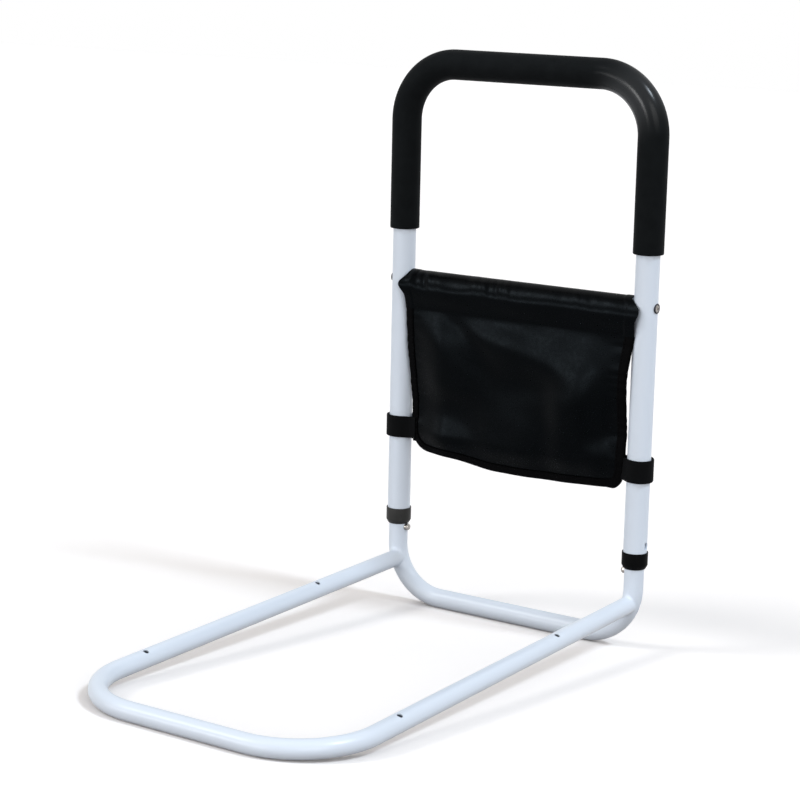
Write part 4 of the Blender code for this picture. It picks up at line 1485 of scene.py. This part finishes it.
    def ripples(self, x: np.ndarray, z: np.ndarray) -> np.ndarray:
        """Short puckers along the bound sides and small waves of the cloth.

        Args:
            x: Places across the pouch.
            z: Their heights above the seam.

        Returns:
            How far the cloth stands forward at each place.
        """
        edge = np.clip((np.abs(x) - self.half_foot + self.pucker_start) / self.pucker_fade, 0, 1)
        quick, slow = self.pucker_waves
        pucker = self.pucker * np.sin(z * quick + 2 * np.sin(z * slow)) * edge
        a, b, c, d = self.waves
        wave = self.wave * np.sin(x * a + z * b) * np.sin(z * c - x * d)
        return (pucker + wave) * np.clip(-z / self.seam_fade, 0, 1)


@dataclass(frozen=True)
class Gathers:
    """Gathers of the sleeve's shoulder, strongest over the left leg, and its slack front.

    slant and flutter hold the factors in the sines of the slow and the quick gathers.
    """

    place: float = 0.33
    reach: float = 0.10
    slow: float = 0.00060
    quick: float = 0.00034
    middle: float = 0.30
    left: tuple[float, float, float] = (0.70, 0.02, 0.10)
    right: tuple[float, float, float] = (0.45, 0.10, 0.03)
    slant: tuple[float, ...] = (150.0, 9.0, 1.6, 61.0, 4.0)
    flutter: tuple[float, ...] = (2.7, 14.0, 2.0, 37.0)
    slack: float = 0.0005
    slack_place: float = 0.16
    slack_reach: float = 0.09
    slack_pitch: float = 60.0
    slack_fade: float = 12.0

    def height(self, x: np.ndarray, share: np.ndarray) -> np.ndarray:
        """How far the cloth stands out.

        Args:
            x: Places along the sleeve.
            share: Places round it, from its front seam to its back seam, as shares.

        Returns:
            The distance at each place.
        """
        (left, left_end, left_span), (right, right_start, right_span) = self.left, self.right
        strength = (self.middle + left * smooth((left_end - x) / left_span)
                    + right * smooth((x - right_start) / right_span))
        a, b, c, d, e = self.slant
        slant = a * x + b * share + c * np.sin(d * x + e * share)
        f, g, h, i = self.flutter
        flutter = f * slant - g * share + h * np.sin(i * x)
        wave = self.slow * (1 + np.sin(slant)) + self.quick * (1 + np.sin(flutter))
        slack = self.slack * hump(share, self.slack_place, self.slack_reach)
        slack = slack * (1 + np.sin(x * self.slack_pitch + 1)) * np.clip(share * self.slack_fade, 0, 1)
        return wave * hump(share, self.place, self.reach) * strength + slack


@dataclass
class Pouch:
    """The cloth pouch: sleeve on the crossbar, flat panel, pocket, binding, hem and stitches.

    Each ear of the sleeve is a side, a reach outwards and a reach forwards; the pocket's slack has
    its wide and its narrow waves, whose factors slack_waves holds; stitch_form is the thread's
    thickness along its length; grids have so many columns and rows.
    """

    shape: PouchShape = field(default_factory=PouchShape)
    lap: float = 0.010
    bar_below: float = 0.0305
    bar_radius: float = 0.0095
    sleeve_half: float = 0.1378
    sleeve_full: float = 0.0026
    shoulder: float = 0.0220
    shoulder_power: float = 1.176
    shoulder_tail: float = 0.004
    gathers: Gathers = Gathers()
    ears: tuple[tuple[float, ...], ...] = ((-1, 0.0068, 0.0035), (1, 0.0030, 0.0))
    ear_height: float = 0.0280
    ear_reach: float = 0.0085
    ear_start: float = 0.84
    ear_span: float = 0.16
    ear_depth: float = 0.010
    hem_width: float = 0.0095
    hem_step: float = 0.0005
    hem_fade: float = 0.0012
    spacing: float = 0.98
    panel_grid: tuple[int, int] = (150, 96)
    pocket_grid: tuple[int, int] = (130, 84)
    tape_edge: float = 0.8
    tape_swell: float = 1.15
    mouth: float = 0.030
    mouth_dip: float = 0.0035
    dip_reach: float = 0.04
    pocket_depth: float = 0.0175
    pocket_slope: float = 0.026
    pocket_ease: float = 0.0006
    pocket_slack: tuple[float, float] = (0.0012, 0.0009)
    slack_waves: tuple[float, ...] = (44.0, 5.0, 52.0, 1.2, 90.0, 70.0)
    fold_fade: float = 0.006
    roll_trim: int = 6
    roll_sides: int = 12
    roll_tall: float = 0.0030
    roll_thick: float = 0.00125
    roll_lift: float = 0.0009
    roll_drop: float = 0.0018
    roll_pitch: float = 0.0007
    stitch_length: float = 0.0030
    stitch_radius: float = 0.00028
    stitch_spacing: float = 1.35
    stitch_crown: float = 0.75
    stitch_bow: float = 1.5
    stitch_sides: int = 6
    stitch_form: tuple[tuple[float, float], ...] = (
        (0.0, 0.35), (0.2, 0.9), (0.5, 1.0), (0.8, 0.9), (1.0, 0.35))
    stitch_margin: float = 0.0014
    seam_half: float = 0.134
    seam_rows: tuple[float, float] = (0.0022, 0.0075)

    def even_grid(self, top: float, columns: int, rows: int) -> tuple[np.ndarray, np.ndarray]:
        """A grid within the pouch's tape, whose last row follows the rounded foot.

        Args:
            top: Height of its first row above the seam.
            columns: Number of columns, which lie closer together at both sides.
            rows: Number of rows.

        Returns:
            The places x and z.
        """
        across = np.sin(np.linspace(-1, 1, columns) * QUARTER_TURN * self.spacing)
        across = across / math.sin(QUARTER_TURN * self.spacing)
        inset = self.shape.tape + TOUCH_GAP
        low = self.shape.foot(across * (self.shape.half_foot - inset)) + inset
        z = top + (low[None, :] - top) * np.linspace(0, 1, rows)[:, None]
        return across[None, :] * (self.shape.half_width(z) - inset), z

    def build_cloth(self, name: str, points: np.ndarray, uvs: np.ndarray, node: str) -> Piece:
        """Make a sheet of the pouch's cloth.

        Args:
            name: The piece's name.
            points: Grid of hanging points.
            uvs: Their places in the flat cloth.
            node: The CAD node that it stands for.

        Returns:
            The sheet.
        """
        sheet = grid_object(name, self.shape.world(points), uvs)
        on_bench(sheet).modify("SOLIDIFY", thickness=self.shape.cloth, offset=0)
        return finish_piece(sheet, [POUCH_CLOTH], Body.UPPER, [node], placed=True)

    def build_tape(self, name: str, points: np.ndarray, uvs: np.ndarray, node: str,
                   sharp: float = 35.0) -> Piece:
        """Make a closed band of the pouch's tape.

        Args:
            name: The piece's name.
            points: Rings of hanging points.
            uvs: Their places in the flat tape.
            node: The CAD node that it stands for.
            sharp: Angle in degrees past which an edge stays sharp.

        Returns:
            The band.
        """
        band = grid_object(name, self.shape.world(points), uvs, wrap=True, capped=True)
        return finish_piece(band, [POUCH_TAPE], Body.UPPER, [node], placed=True, sharp=sharp)

    def tape_section(self, front: float, back: float) -> np.ndarray:
        """Section of the tape folded over the pouch's edge.

        Args:
            front: y of its inner face before the cloth.
            back: y of its inner face behind the cloth.

        Returns:
            Points (distance from the edge, y), first round the outside, then back round the inside.
        """
        thick, width = self.shape.tape, self.shape.binding
        half, middle = (back - front) / 2, (back + front) / 2
        reach = half + thick
        edge, swell = thick * self.tape_edge, thick * self.tape_swell
        bend = np.linspace(-QUARTER_TURN, QUARTER_TURN, 9)
        outer = [(width, front - edge), (width / 2, front - swell), (reach, front - thick)]
        outer += [(reach - reach * math.cos(a), middle + reach * math.sin(a)) for a in bend]
        outer += [(reach, back + thick), (width / 2, back + swell), (width, back + edge)]
        inner = [(width, back), (reach, back)]
        inner += [(reach - half * math.cos(a), middle + half * math.sin(a)) for a in bend[::-1]]
        return np.array(outer + inner + [(reach, front), (width, front)])

    def build_binding(self) -> Piece:
        """The tape along both sides and the foot, over the panel and the pocket's margin.

        Returns:
            The tape.
        """
        line, half = self.shape.outline(), self.shape.cloth / 2
        section = self.tape_section(-half - TOUCH_GAP, self.shape.step + half + TOUCH_GAP)
        x, z = swept(line, beside(line), section[:, 0])
        y = section[None, :, 1] - self.shape.relief(x, z)
        uvs = stacked(travelled(line)[:, None], travelled(section)[None, :])
        return self.build_tape("pouch_edge_tape", stacked(x, y, z), uvs, "pouch_binding", sharp=50)

    def sleeve_section(self) -> np.ndarray:
        """Section of the sleeve: up the front, over the crossbar and down the back.

        Returns:
            Points (y, z).
        """
        turn = Matrix.Rotation(-math.radians(self.shape.lean), 2)
        bar = turn @ Vector((-self.shape.plane_y, self.bar_below))
        loop = self.bar_radius + TOUCH_GAP + self.shape.cloth / 2
        front = -self.shape.step
        full = front - self.sleeve_full
        rise = [(front + (full - front) * float(smooth(share)), self.shoulder * share)
                for share in np.linspace(0, 1, 12)]
        over = [(bar.x + (full - bar.x) * max(math.cos(a), 0.0) ** self.shoulder_power,
                 self.shoulder + (bar.y + loop - self.shoulder) * math.sin(a) ** self.shoulder_power)
                for a in np.linspace(0, QUARTER_TURN, 20)[1:]]
        tuck = Vector((self.shape.step, self.lap))
        away = math.atan2(tuck.y - bar.y, tuck.x - bar.x)
        touch = away + math.acos(min(1.0, loop / (tuck - bar).length))
        down = [(bar.x + loop * math.cos(a), bar.y + loop * math.sin(a))
                for a in np.linspace(QUARTER_TURN, touch, 16)[1:]]
        straight = [tuple(Vector(down[-1]).lerp(tuck, share)) for share in np.linspace(0, 1, 7)[1:]]
        tail = [(self.shape.step, self.shoulder_tail), (self.shape.step, 0)]
        return np.array(rise + over + down + straight + tail)

    def build_sleeve(self, columns: int = 260) -> Piece:
        """The tunnel round the crossbar, wrinkled at its ends and drawn out over the left leg.

        Args:
            columns: Number of points along it.

        Returns:
            The sleeve.
        """
        section = self.sleeve_section()
        travel, out = travelled(section), -beside(section)
        u, v = np.linspace(-1, 1, columns)[:, None], travel[None, :]
        x = u * self.sleeve_half
        hem = smooth((np.abs(x) - self.sleeve_half + self.hem_width) / self.hem_fade)
        wave = self.gathers.height(x, v / travel[-1]) + self.hem_step * hem
        y = section[None, :, 0] + wave * out[None, :, 0]
        z = section[None, :, 1] + wave * out[None, :, 1]
        front = np.clip(1 - (section[:, 0] - section[0, 0]) / self.ear_depth, 0, 1)[None, :]
        for sign, reach, forward in self.ears:
            near = np.clip((sign * u - self.ear_start) / self.ear_span, 0, 1) ** 2
            peak = hump(z, self.ear_height, self.ear_reach)
            x = x + sign * reach * near * peak * front
            y = y - forward * near * peak * front
        y -= self.shape.relief(x, np.minimum(z, 0)) * np.clip(1 - z / self.lap, 0, 1)
        return self.build_cloth("pouch_tunnel", stacked(x, y, z), stacked(x, v), "pouch_sleeve")

    def pocket_points(self) -> np.ndarray:
        """The pocket's grid: flat margins on the panel's folds, a rising edge and a slack middle.

        Returns:
            Hanging points.
        """
        x, z = self.even_grid(-self.mouth, *self.pocket_grid)
        line = self.shape.outline(count=240)
        away = np.sqrt((x[..., None] - line[:, 0]) ** 2 + (z[..., None] - line[:, 1]) ** 2).min(-1)
        rise = np.clip((away - self.shape.binding) / self.pocket_slope, 0, 1)
        bulge = self.pocket_depth * np.sin(QUARTER_TURN * rise)
        a, b, c, d, e, f = self.slack_waves
        wide, narrow = self.pocket_slack
        slack = wide * np.sin(x * a + b * z) * np.sin(z * c + d) + narrow * np.sin(x * e - z * f)
        slack = slack * rise ** 2
        y = self.shape.step + bulge - np.abs(slack) - self.pocket_ease * rise
        dip = self.mouth_dip * (1 - (x / self.shape.half_top) ** 2)
        z = z - dip * np.clip(1 + (z + self.mouth) / self.dip_reach, 0, 1) * rise
        flat = np.clip(1 - (y - self.shape.step) / self.fold_fade, 0, 1)
        return stacked(x, y - self.shape.relief(x, z) * flat, z)

    def build_hem(self, mouth: np.ndarray) -> Piece:
        """The rolled hem of the pocket's mouth.

        Args:
            mouth: Hanging points along the pocket's upper edge.

        Returns:
            The hem.
        """
        line = mouth[self.roll_trim:-self.roll_trim] + [0, 0, self.roll_lift]
        number = np.arange(self.roll_sides)
        angle = number * 2 * math.pi / self.roll_sides
        up = np.array([0.0, 0.0, 1.0])
        over = units(np.cross(units(np.gradient(line, axis=0)), up))
        rings = (line[:, None] + np.cos(angle)[None, :, None] * over[:, None] * self.roll_thick
                 + np.sin(angle)[None, :, None] * up * self.roll_tall - up * self.roll_drop)
        uvs = stacked(travelled(line)[:, None], self.roll_pitch * number[None, :])
        return self.build_tape("pouch_mouth_hem", rings, uvs, "pouch_pocket_hem")

    def stitch_rows(self) -> list[tuple[np.ndarray, float]]:
        """Lines of the stitching.

        Returns:
            The hanging points of each line, and the side of the cloth that it lies on.
        """
        line = self.shape.outline(count=700)
        sewn = line + beside(line) * (self.shape.binding - self.stitch_margin)
        relief = self.shape.relief(sewn[:, 0], sewn[:, 1])
        front = -(self.shape.cloth / 2 + TOUCH_GAP + self.shape.tape)
        rows = [(stacked(sewn[:, 0], face - relief, sewn[:, 1]), sign)
                for face, sign in ((front, -1.0), (self.shape.step - front, 1.0))]
        x = np.linspace(-self.seam_half, self.seam_half, 400)
        relief = self.shape.relief(x, np.zeros_like(x))
        for height in self.seam_rows:
            y = -self.shape.step - self.shape.cloth / 2 - relief * (1 - height / self.lap)
            rows.append((stacked(x, y, np.full_like(x, height)), -1.0))
        return rows

    def build_stitches(self) -> Piece:
        """Short raised threads in rows, all in one piece.

        Returns:
            The piece.
        """
        shape = bmesh.new()
        for line, sign in self.stitch_rows():
            travel = travelled(line)
            for start in np.arange(self.stitch_length, travel[-1] - self.stitch_length,
                                   self.stitch_length * self.stitch_spacing):
                ends = [np.array([np.interp(at, travel, line[:, axis]) for axis in range(3)])
                        for at in (start, start + self.stitch_length)]
                self.add_stitch(shape, *ends, sign)
        stitches = link_mesh("pouch_stitches", shape)
        return finish_piece(stitches, [THREAD], Body.UPPER, placed=True, sharp=80)

    def add_stitch(self, shape: bmesh.types.BMesh, start: np.ndarray, end: np.ndarray, sign: float) -> None:
        """Add one thread, a spindle of rings that dips into the cloth at both ends.

        Args:
            shape: The shape that it is added to.
            start: Hanging point where it begins.
            end: Hanging point where it ends.
            sign: -1 on the front of the cloth, 1 on its back.
        """
        ahead = (end - start) / np.linalg.norm(end - start)
        over = np.cross(ahead, [0.0, 1.0, 0.0])
        over /= np.linalg.norm(over)
        out = np.array([0.0, sign, 0.0])
        sides = self.stitch_sides
        rings = []
        for share, size in self.stitch_form:
            lift = self.stitch_radius * (self.stitch_crown - self.stitch_bow * (2 * share - 1) ** 2)
            middle = start + (end - start) * share + out * lift
            ring = []
            for angle in (corner * math.pi / (sides / 2) for corner in range(sides)):
                away = math.cos(angle) * over + math.sin(angle) * out
                place = middle + self.stitch_radius * size * away
                ring.append(shape.verts.new(tuple(self.shape.world(place[None])[0])))
            rings.append(ring)
        for before, after in zip(rings, rings[1:]):
            for corner in range(sides):
                nearby = (corner + 1) % sides
                shape.faces.new((before[corner], after[corner], after[nearby], before[nearby]))
        shape.faces.new(rings[0])
        shape.faces.new(rings[-1][::-1])

    def build(self) -> None:
        x, z = self.even_grid(self.lap, *self.panel_grid)
        panel = self.build_cloth("pouch_panel", stacked(x, -self.shape.relief(x, z), z), stacked(x, z),
                                 "pouch_back_panel")
        sleeve = self.build_sleeve()
        points = self.pocket_points()
        pocket = self.build_cloth("pouch_pocket", points, points[..., ::2], "pouch_pocket_panel")
        binding = self.build_binding()
        hem = self.build_hem(points[0])
        stitches = self.build_stitches()
        round_sleeve = float(travelled(self.sleeve_section())[-1])


@dataclass
class Straps:
    """Webbing round each leg at the pouch's foot, closed by a patch behind."""

    left_height: float = 0.1545
    right_height: float = 0.1485
    width: float = 0.0245
    thick: float = 0.0020
    stand: float = 0.0013
    half_foot: float = 0.1350
    lap: float = 0.008
    front: float = -0.0067
    back: float = 0.0036
    edge_gap: float = 0.0006
    wrap_steps: int = 56
    end_steps: int = 8
    smoothings: int = 3
    sway: float = 0.0004
    sway_pitch: float = 90.0

    @property
    def leg(self) -> np.ndarray:
        """Place (x, y) of the right leg's axis."""
        return np.array([LAYOUT.leg_x, 0.0])

    @property
    def radius(self) -> float:
        """Radius of the webbing's middle round the leg."""
        return LAYOUT.upper_radius + self.stand + self.thick / 2

    def touch(self, point: tuple[float, float], way: int) -> float:
        """Where a straight stretch of webbing from a point meets the bend round the leg.

        Args:
            point: Place (x, y) of the point.
            way: 1 or -1, for the tangent on the one or the other side.

        Returns:
            The angle round the leg.
        """
        away = np.array(point) - self.leg
        return math.atan2(away[1], away[0]) + way * math.acos(min(1.0, self.radius / np.linalg.norm(away)))

    def line(self) -> np.ndarray:
        """Path round the right leg, from the pouch's front to its back.

        Returns:
            Points (x, y).
        """
        edge = self.half_foot + self.edge_gap
        start, end = self.touch((edge, self.front), 1), self.touch((edge, self.back), -1)
        start = start - FULL_TURN if start > 0 else start
        end = end + FULL_TURN if end < 0 else end
        angle = np.linspace(start, end, self.wrap_steps)
        inner = self.half_foot - self.lap
        near = stacked(np.linspace(inner, edge, self.end_steps), self.front)
        far = stacked(np.linspace(edge, inner, self.end_steps), self.back)
        whole = np.vstack([near, self.leg + self.radius * stacked(np.cos(angle), np.sin(angle)), far])
        for _ in range(self.smoothings):
            whole[1:-1] = (whole[:-2] + 2 * whole[1:-1] + whole[2:]) / 4
        return whole

    def section(self) -> np.ndarray:
        """Section of the webbing, its edges rounded.

        Returns:
            Points (distance outwards, height).
        """
        half, edge = self.width / 2, self.thick / 2
        flat = np.linspace(-half + edge, half - edge, 9)
        bend = np.linspace(-QUARTER_TURN, QUARTER_TURN, 7)[1:-1]
        points = [(edge, z) for z in flat]
        points += [(-edge * math.sin(a), half - edge + edge * math.cos(a)) for a in bend]
        points += [(-edge, z) for z in flat[::-1]]
        points += [(edge * math.sin(a), -half + edge - edge * math.cos(a)) for a in bend]
        return np.array(points)

    def build(self) -> None:
        """Loft both straps."""
        line, section = self.line(), self.section()
        travel = travelled(line)
        uvs = stacked(travel[:, None], travelled(section)[None, :])
        x, y = swept(line, beside(line), section[:, 0])
        for side, height in ((Side.LEFT, self.left_height), (Side.RIGHT, self.right_height)):
            sway = self.sway * np.sin(travel * self.sway_pitch + side.value)[:, None]
            points = stacked(side.value * x, y, height + section[None, :, 1] + sway)
            strap = grid_object(f"{side.label}_leg_strap", STANCE.place(points), uvs, wrap=True,
                                capped=True)
            finish_piece(strap, [WEBBING], Body.UPPER, [f"{side.label}_strap"],
                         placed=True, sharp=60)


def dress_hidden_nodes() -> None:
    """Give every CAD node that stays shown a finish of its own."""
    finishes = {"leg_plug": PLUG_PLASTIC, "crossbar_insert": DARK_STEEL, "strap_patch": LOOP_PILE}
    for side in Side:
        for part, finish in finishes.items():
            set_finish(frame["nodes"][f"{side.label}_{part}"], finish)
    set_finish(frame["nodes"]["crossbar"], WHITE_PAINT)


def set_finish(node: Piece, finish: Finish) -> None:
    """Put one finish on a CAD node.

    Args:
        node: The node.
        finish: Its finish.
    """
    node.data.materials.clear()
    node.data.materials.append(finish.material())
    LOG.info("%s: kept, %s", node.name, finish.name)


def towards(azimuth: float, elevation: float) -> Vector:
    """Direction from the rail, by its azimuth from -Y round to +X and its elevation in degrees."""
    a, e = math.radians(azimuth), math.radians(elevation)
    return Vector((math.sin(a) * math.cos(e), -math.cos(a) * math.cos(e), math.sin(e)))


@dataclass(frozen=True)
class Lamp:
    """A distant soft lamp: its direction in degrees, strength and apparent size in degrees."""

    name: str
    azimuth: float
    elevation: float
    strength: float
    size: float
    colour: Colour = (1.0, 1.0, 1.0)

    def build(self) -> None:
        """Hang the lamp."""
        light = bpy.data.lights.new(self.name, "SUN")
        light.energy = self.strength
        light.color = self.colour
        light.angle = math.radians(self.size)
        back = towards(self.azimuth, self.elevation)
        link(self.name, light).rotation_euler = back.to_track_quat("Z", "Y").to_euler()


@dataclass
class Studio:
    """Pale floor, soft light and the photographed view."""

    camera_place: tuple[float, float, float] = (1.17695688, -2.02693686, 0.7052506)
    azimuth: float = 33.262
    elevation: float = 12.180
    roll: float = 1.210
    lens: float = 98.935
    sensor: float = 36.0
    clip: tuple[float, float] = (0.05, 200.0)
    floor_size: float = 400.0
    floor_height: float = -0.0002
    sky_dim: float = 0.10
    sky_bright: float = 0.78
    sky_azimuth: float = 95.0
    sky_elevation: float = 5.0
    lamps: tuple[Lamp, ...] = (
        Lamp("key", 54.0, 14.0, 0.73, 36.0),
        Lamp("side", 92.0, 51.0, 1.08, 12.0, (0.88, 0.99, 1.10)),
        Lamp("shoulder", -43.0, 41.0, 0.70, 18.0),
        Lamp("low_left", -56.0, 6.5, 0.22, 16.0),
        Lamp("low_middle", -32.0, 6.5, 0.48, 16.0),
        Lamp("low_right", -8.0, 5.5, 0.52, 16.0),
    )

    def build_floor(self) -> None:
        """One wide plain floor."""
        bench = Bench("floor")
        bpy.ops.mesh.primitive_plane_add(size=self.floor_size, location=(0, 0, self.floor_height))
        bench.take()
        bench.leave()
        bench.obj.data.materials.append(FLOOR.material())

    def build_sky(self) -> None:
        """A sky brighter on the right than on the left, and plain white where it is looked at."""
        world = bpy.data.worlds.new("studio")
        world.use_nodes = True
        bpy.context.scene.world = world
        sky = Nodes(world.node_tree)
        facing = sky.add("VectorMath", {0: sky.add("TexCoord", {}).outputs["Generated"],
                                        1: towards(self.sky_azimuth, self.sky_elevation)},
                         operation="DOT_PRODUCT").outputs["Value"]
        bright = sky.remap(facing, -1.0, 1.0, self.sky_dim, self.sky_bright)
        background = sky.tree.nodes["Background"].inputs
        sky.feed(background["Strength"], sky.add("Mix", {0: sky.looked_at(), 2: bright, 3: 1.0}).outputs[0])
        background["Color"].default_value = (1.0, 1.0, 1.0, 1.0)

    def build_camera(self) -> None:
        """The photographed view, found in the upright frame and tipped with the rail."""
        back = towards(self.azimuth, self.elevation)
        r = math.radians(self.roll)
        level = (-back).cross(Vector((0, 0, 1))).normalized()
        raised = level.cross(-back)
        right = level * math.cos(r) + raised * math.sin(r)
        up = raised * math.cos(r) - level * math.sin(r)
        turn = Matrix((right, up, back)).transposed().to_4x4()
        place = STANCE.matrix @ Matrix.Translation(self.camera_place) @ turn
        data = bpy.data.cameras.new("camera")
        data.lens = self.lens
        data.sensor_width = self.sensor
        data.clip_start, data.clip_end = self.clip
        camera = link("camera", data)
        camera.location = place.to_translation()
        camera.rotation_mode = "QUATERNION"
        camera.rotation_quaternion = place.to_quaternion()
        bpy.context.scene.camera = camera

    def build(self) -> None:
        """Set up the whole studio."""
        bpy.context.scene.view_settings.view_transform = "Standard"
        self.build_floor()
        self.build_sky()
        for lamp in self.lamps:
            lamp.build()
        self.build_camera()


def main() -> None:
    """Build the rail's looks and the studio."""
    logging.basicConfig(level=logging.INFO, format="%(name)s %(message)s")
    Studio().build()
    for assembly in (BaseFrame(), SnapButtons(), LeafSprings(), Handle(), CrossbarFasteners(), Pouch(),
                     Straps()):
        assembly.build()
        LOG.info("%s is built", type(assembly).__name__)
    dress_hidden_nodes()


if __name__ == "__main__":
    main()
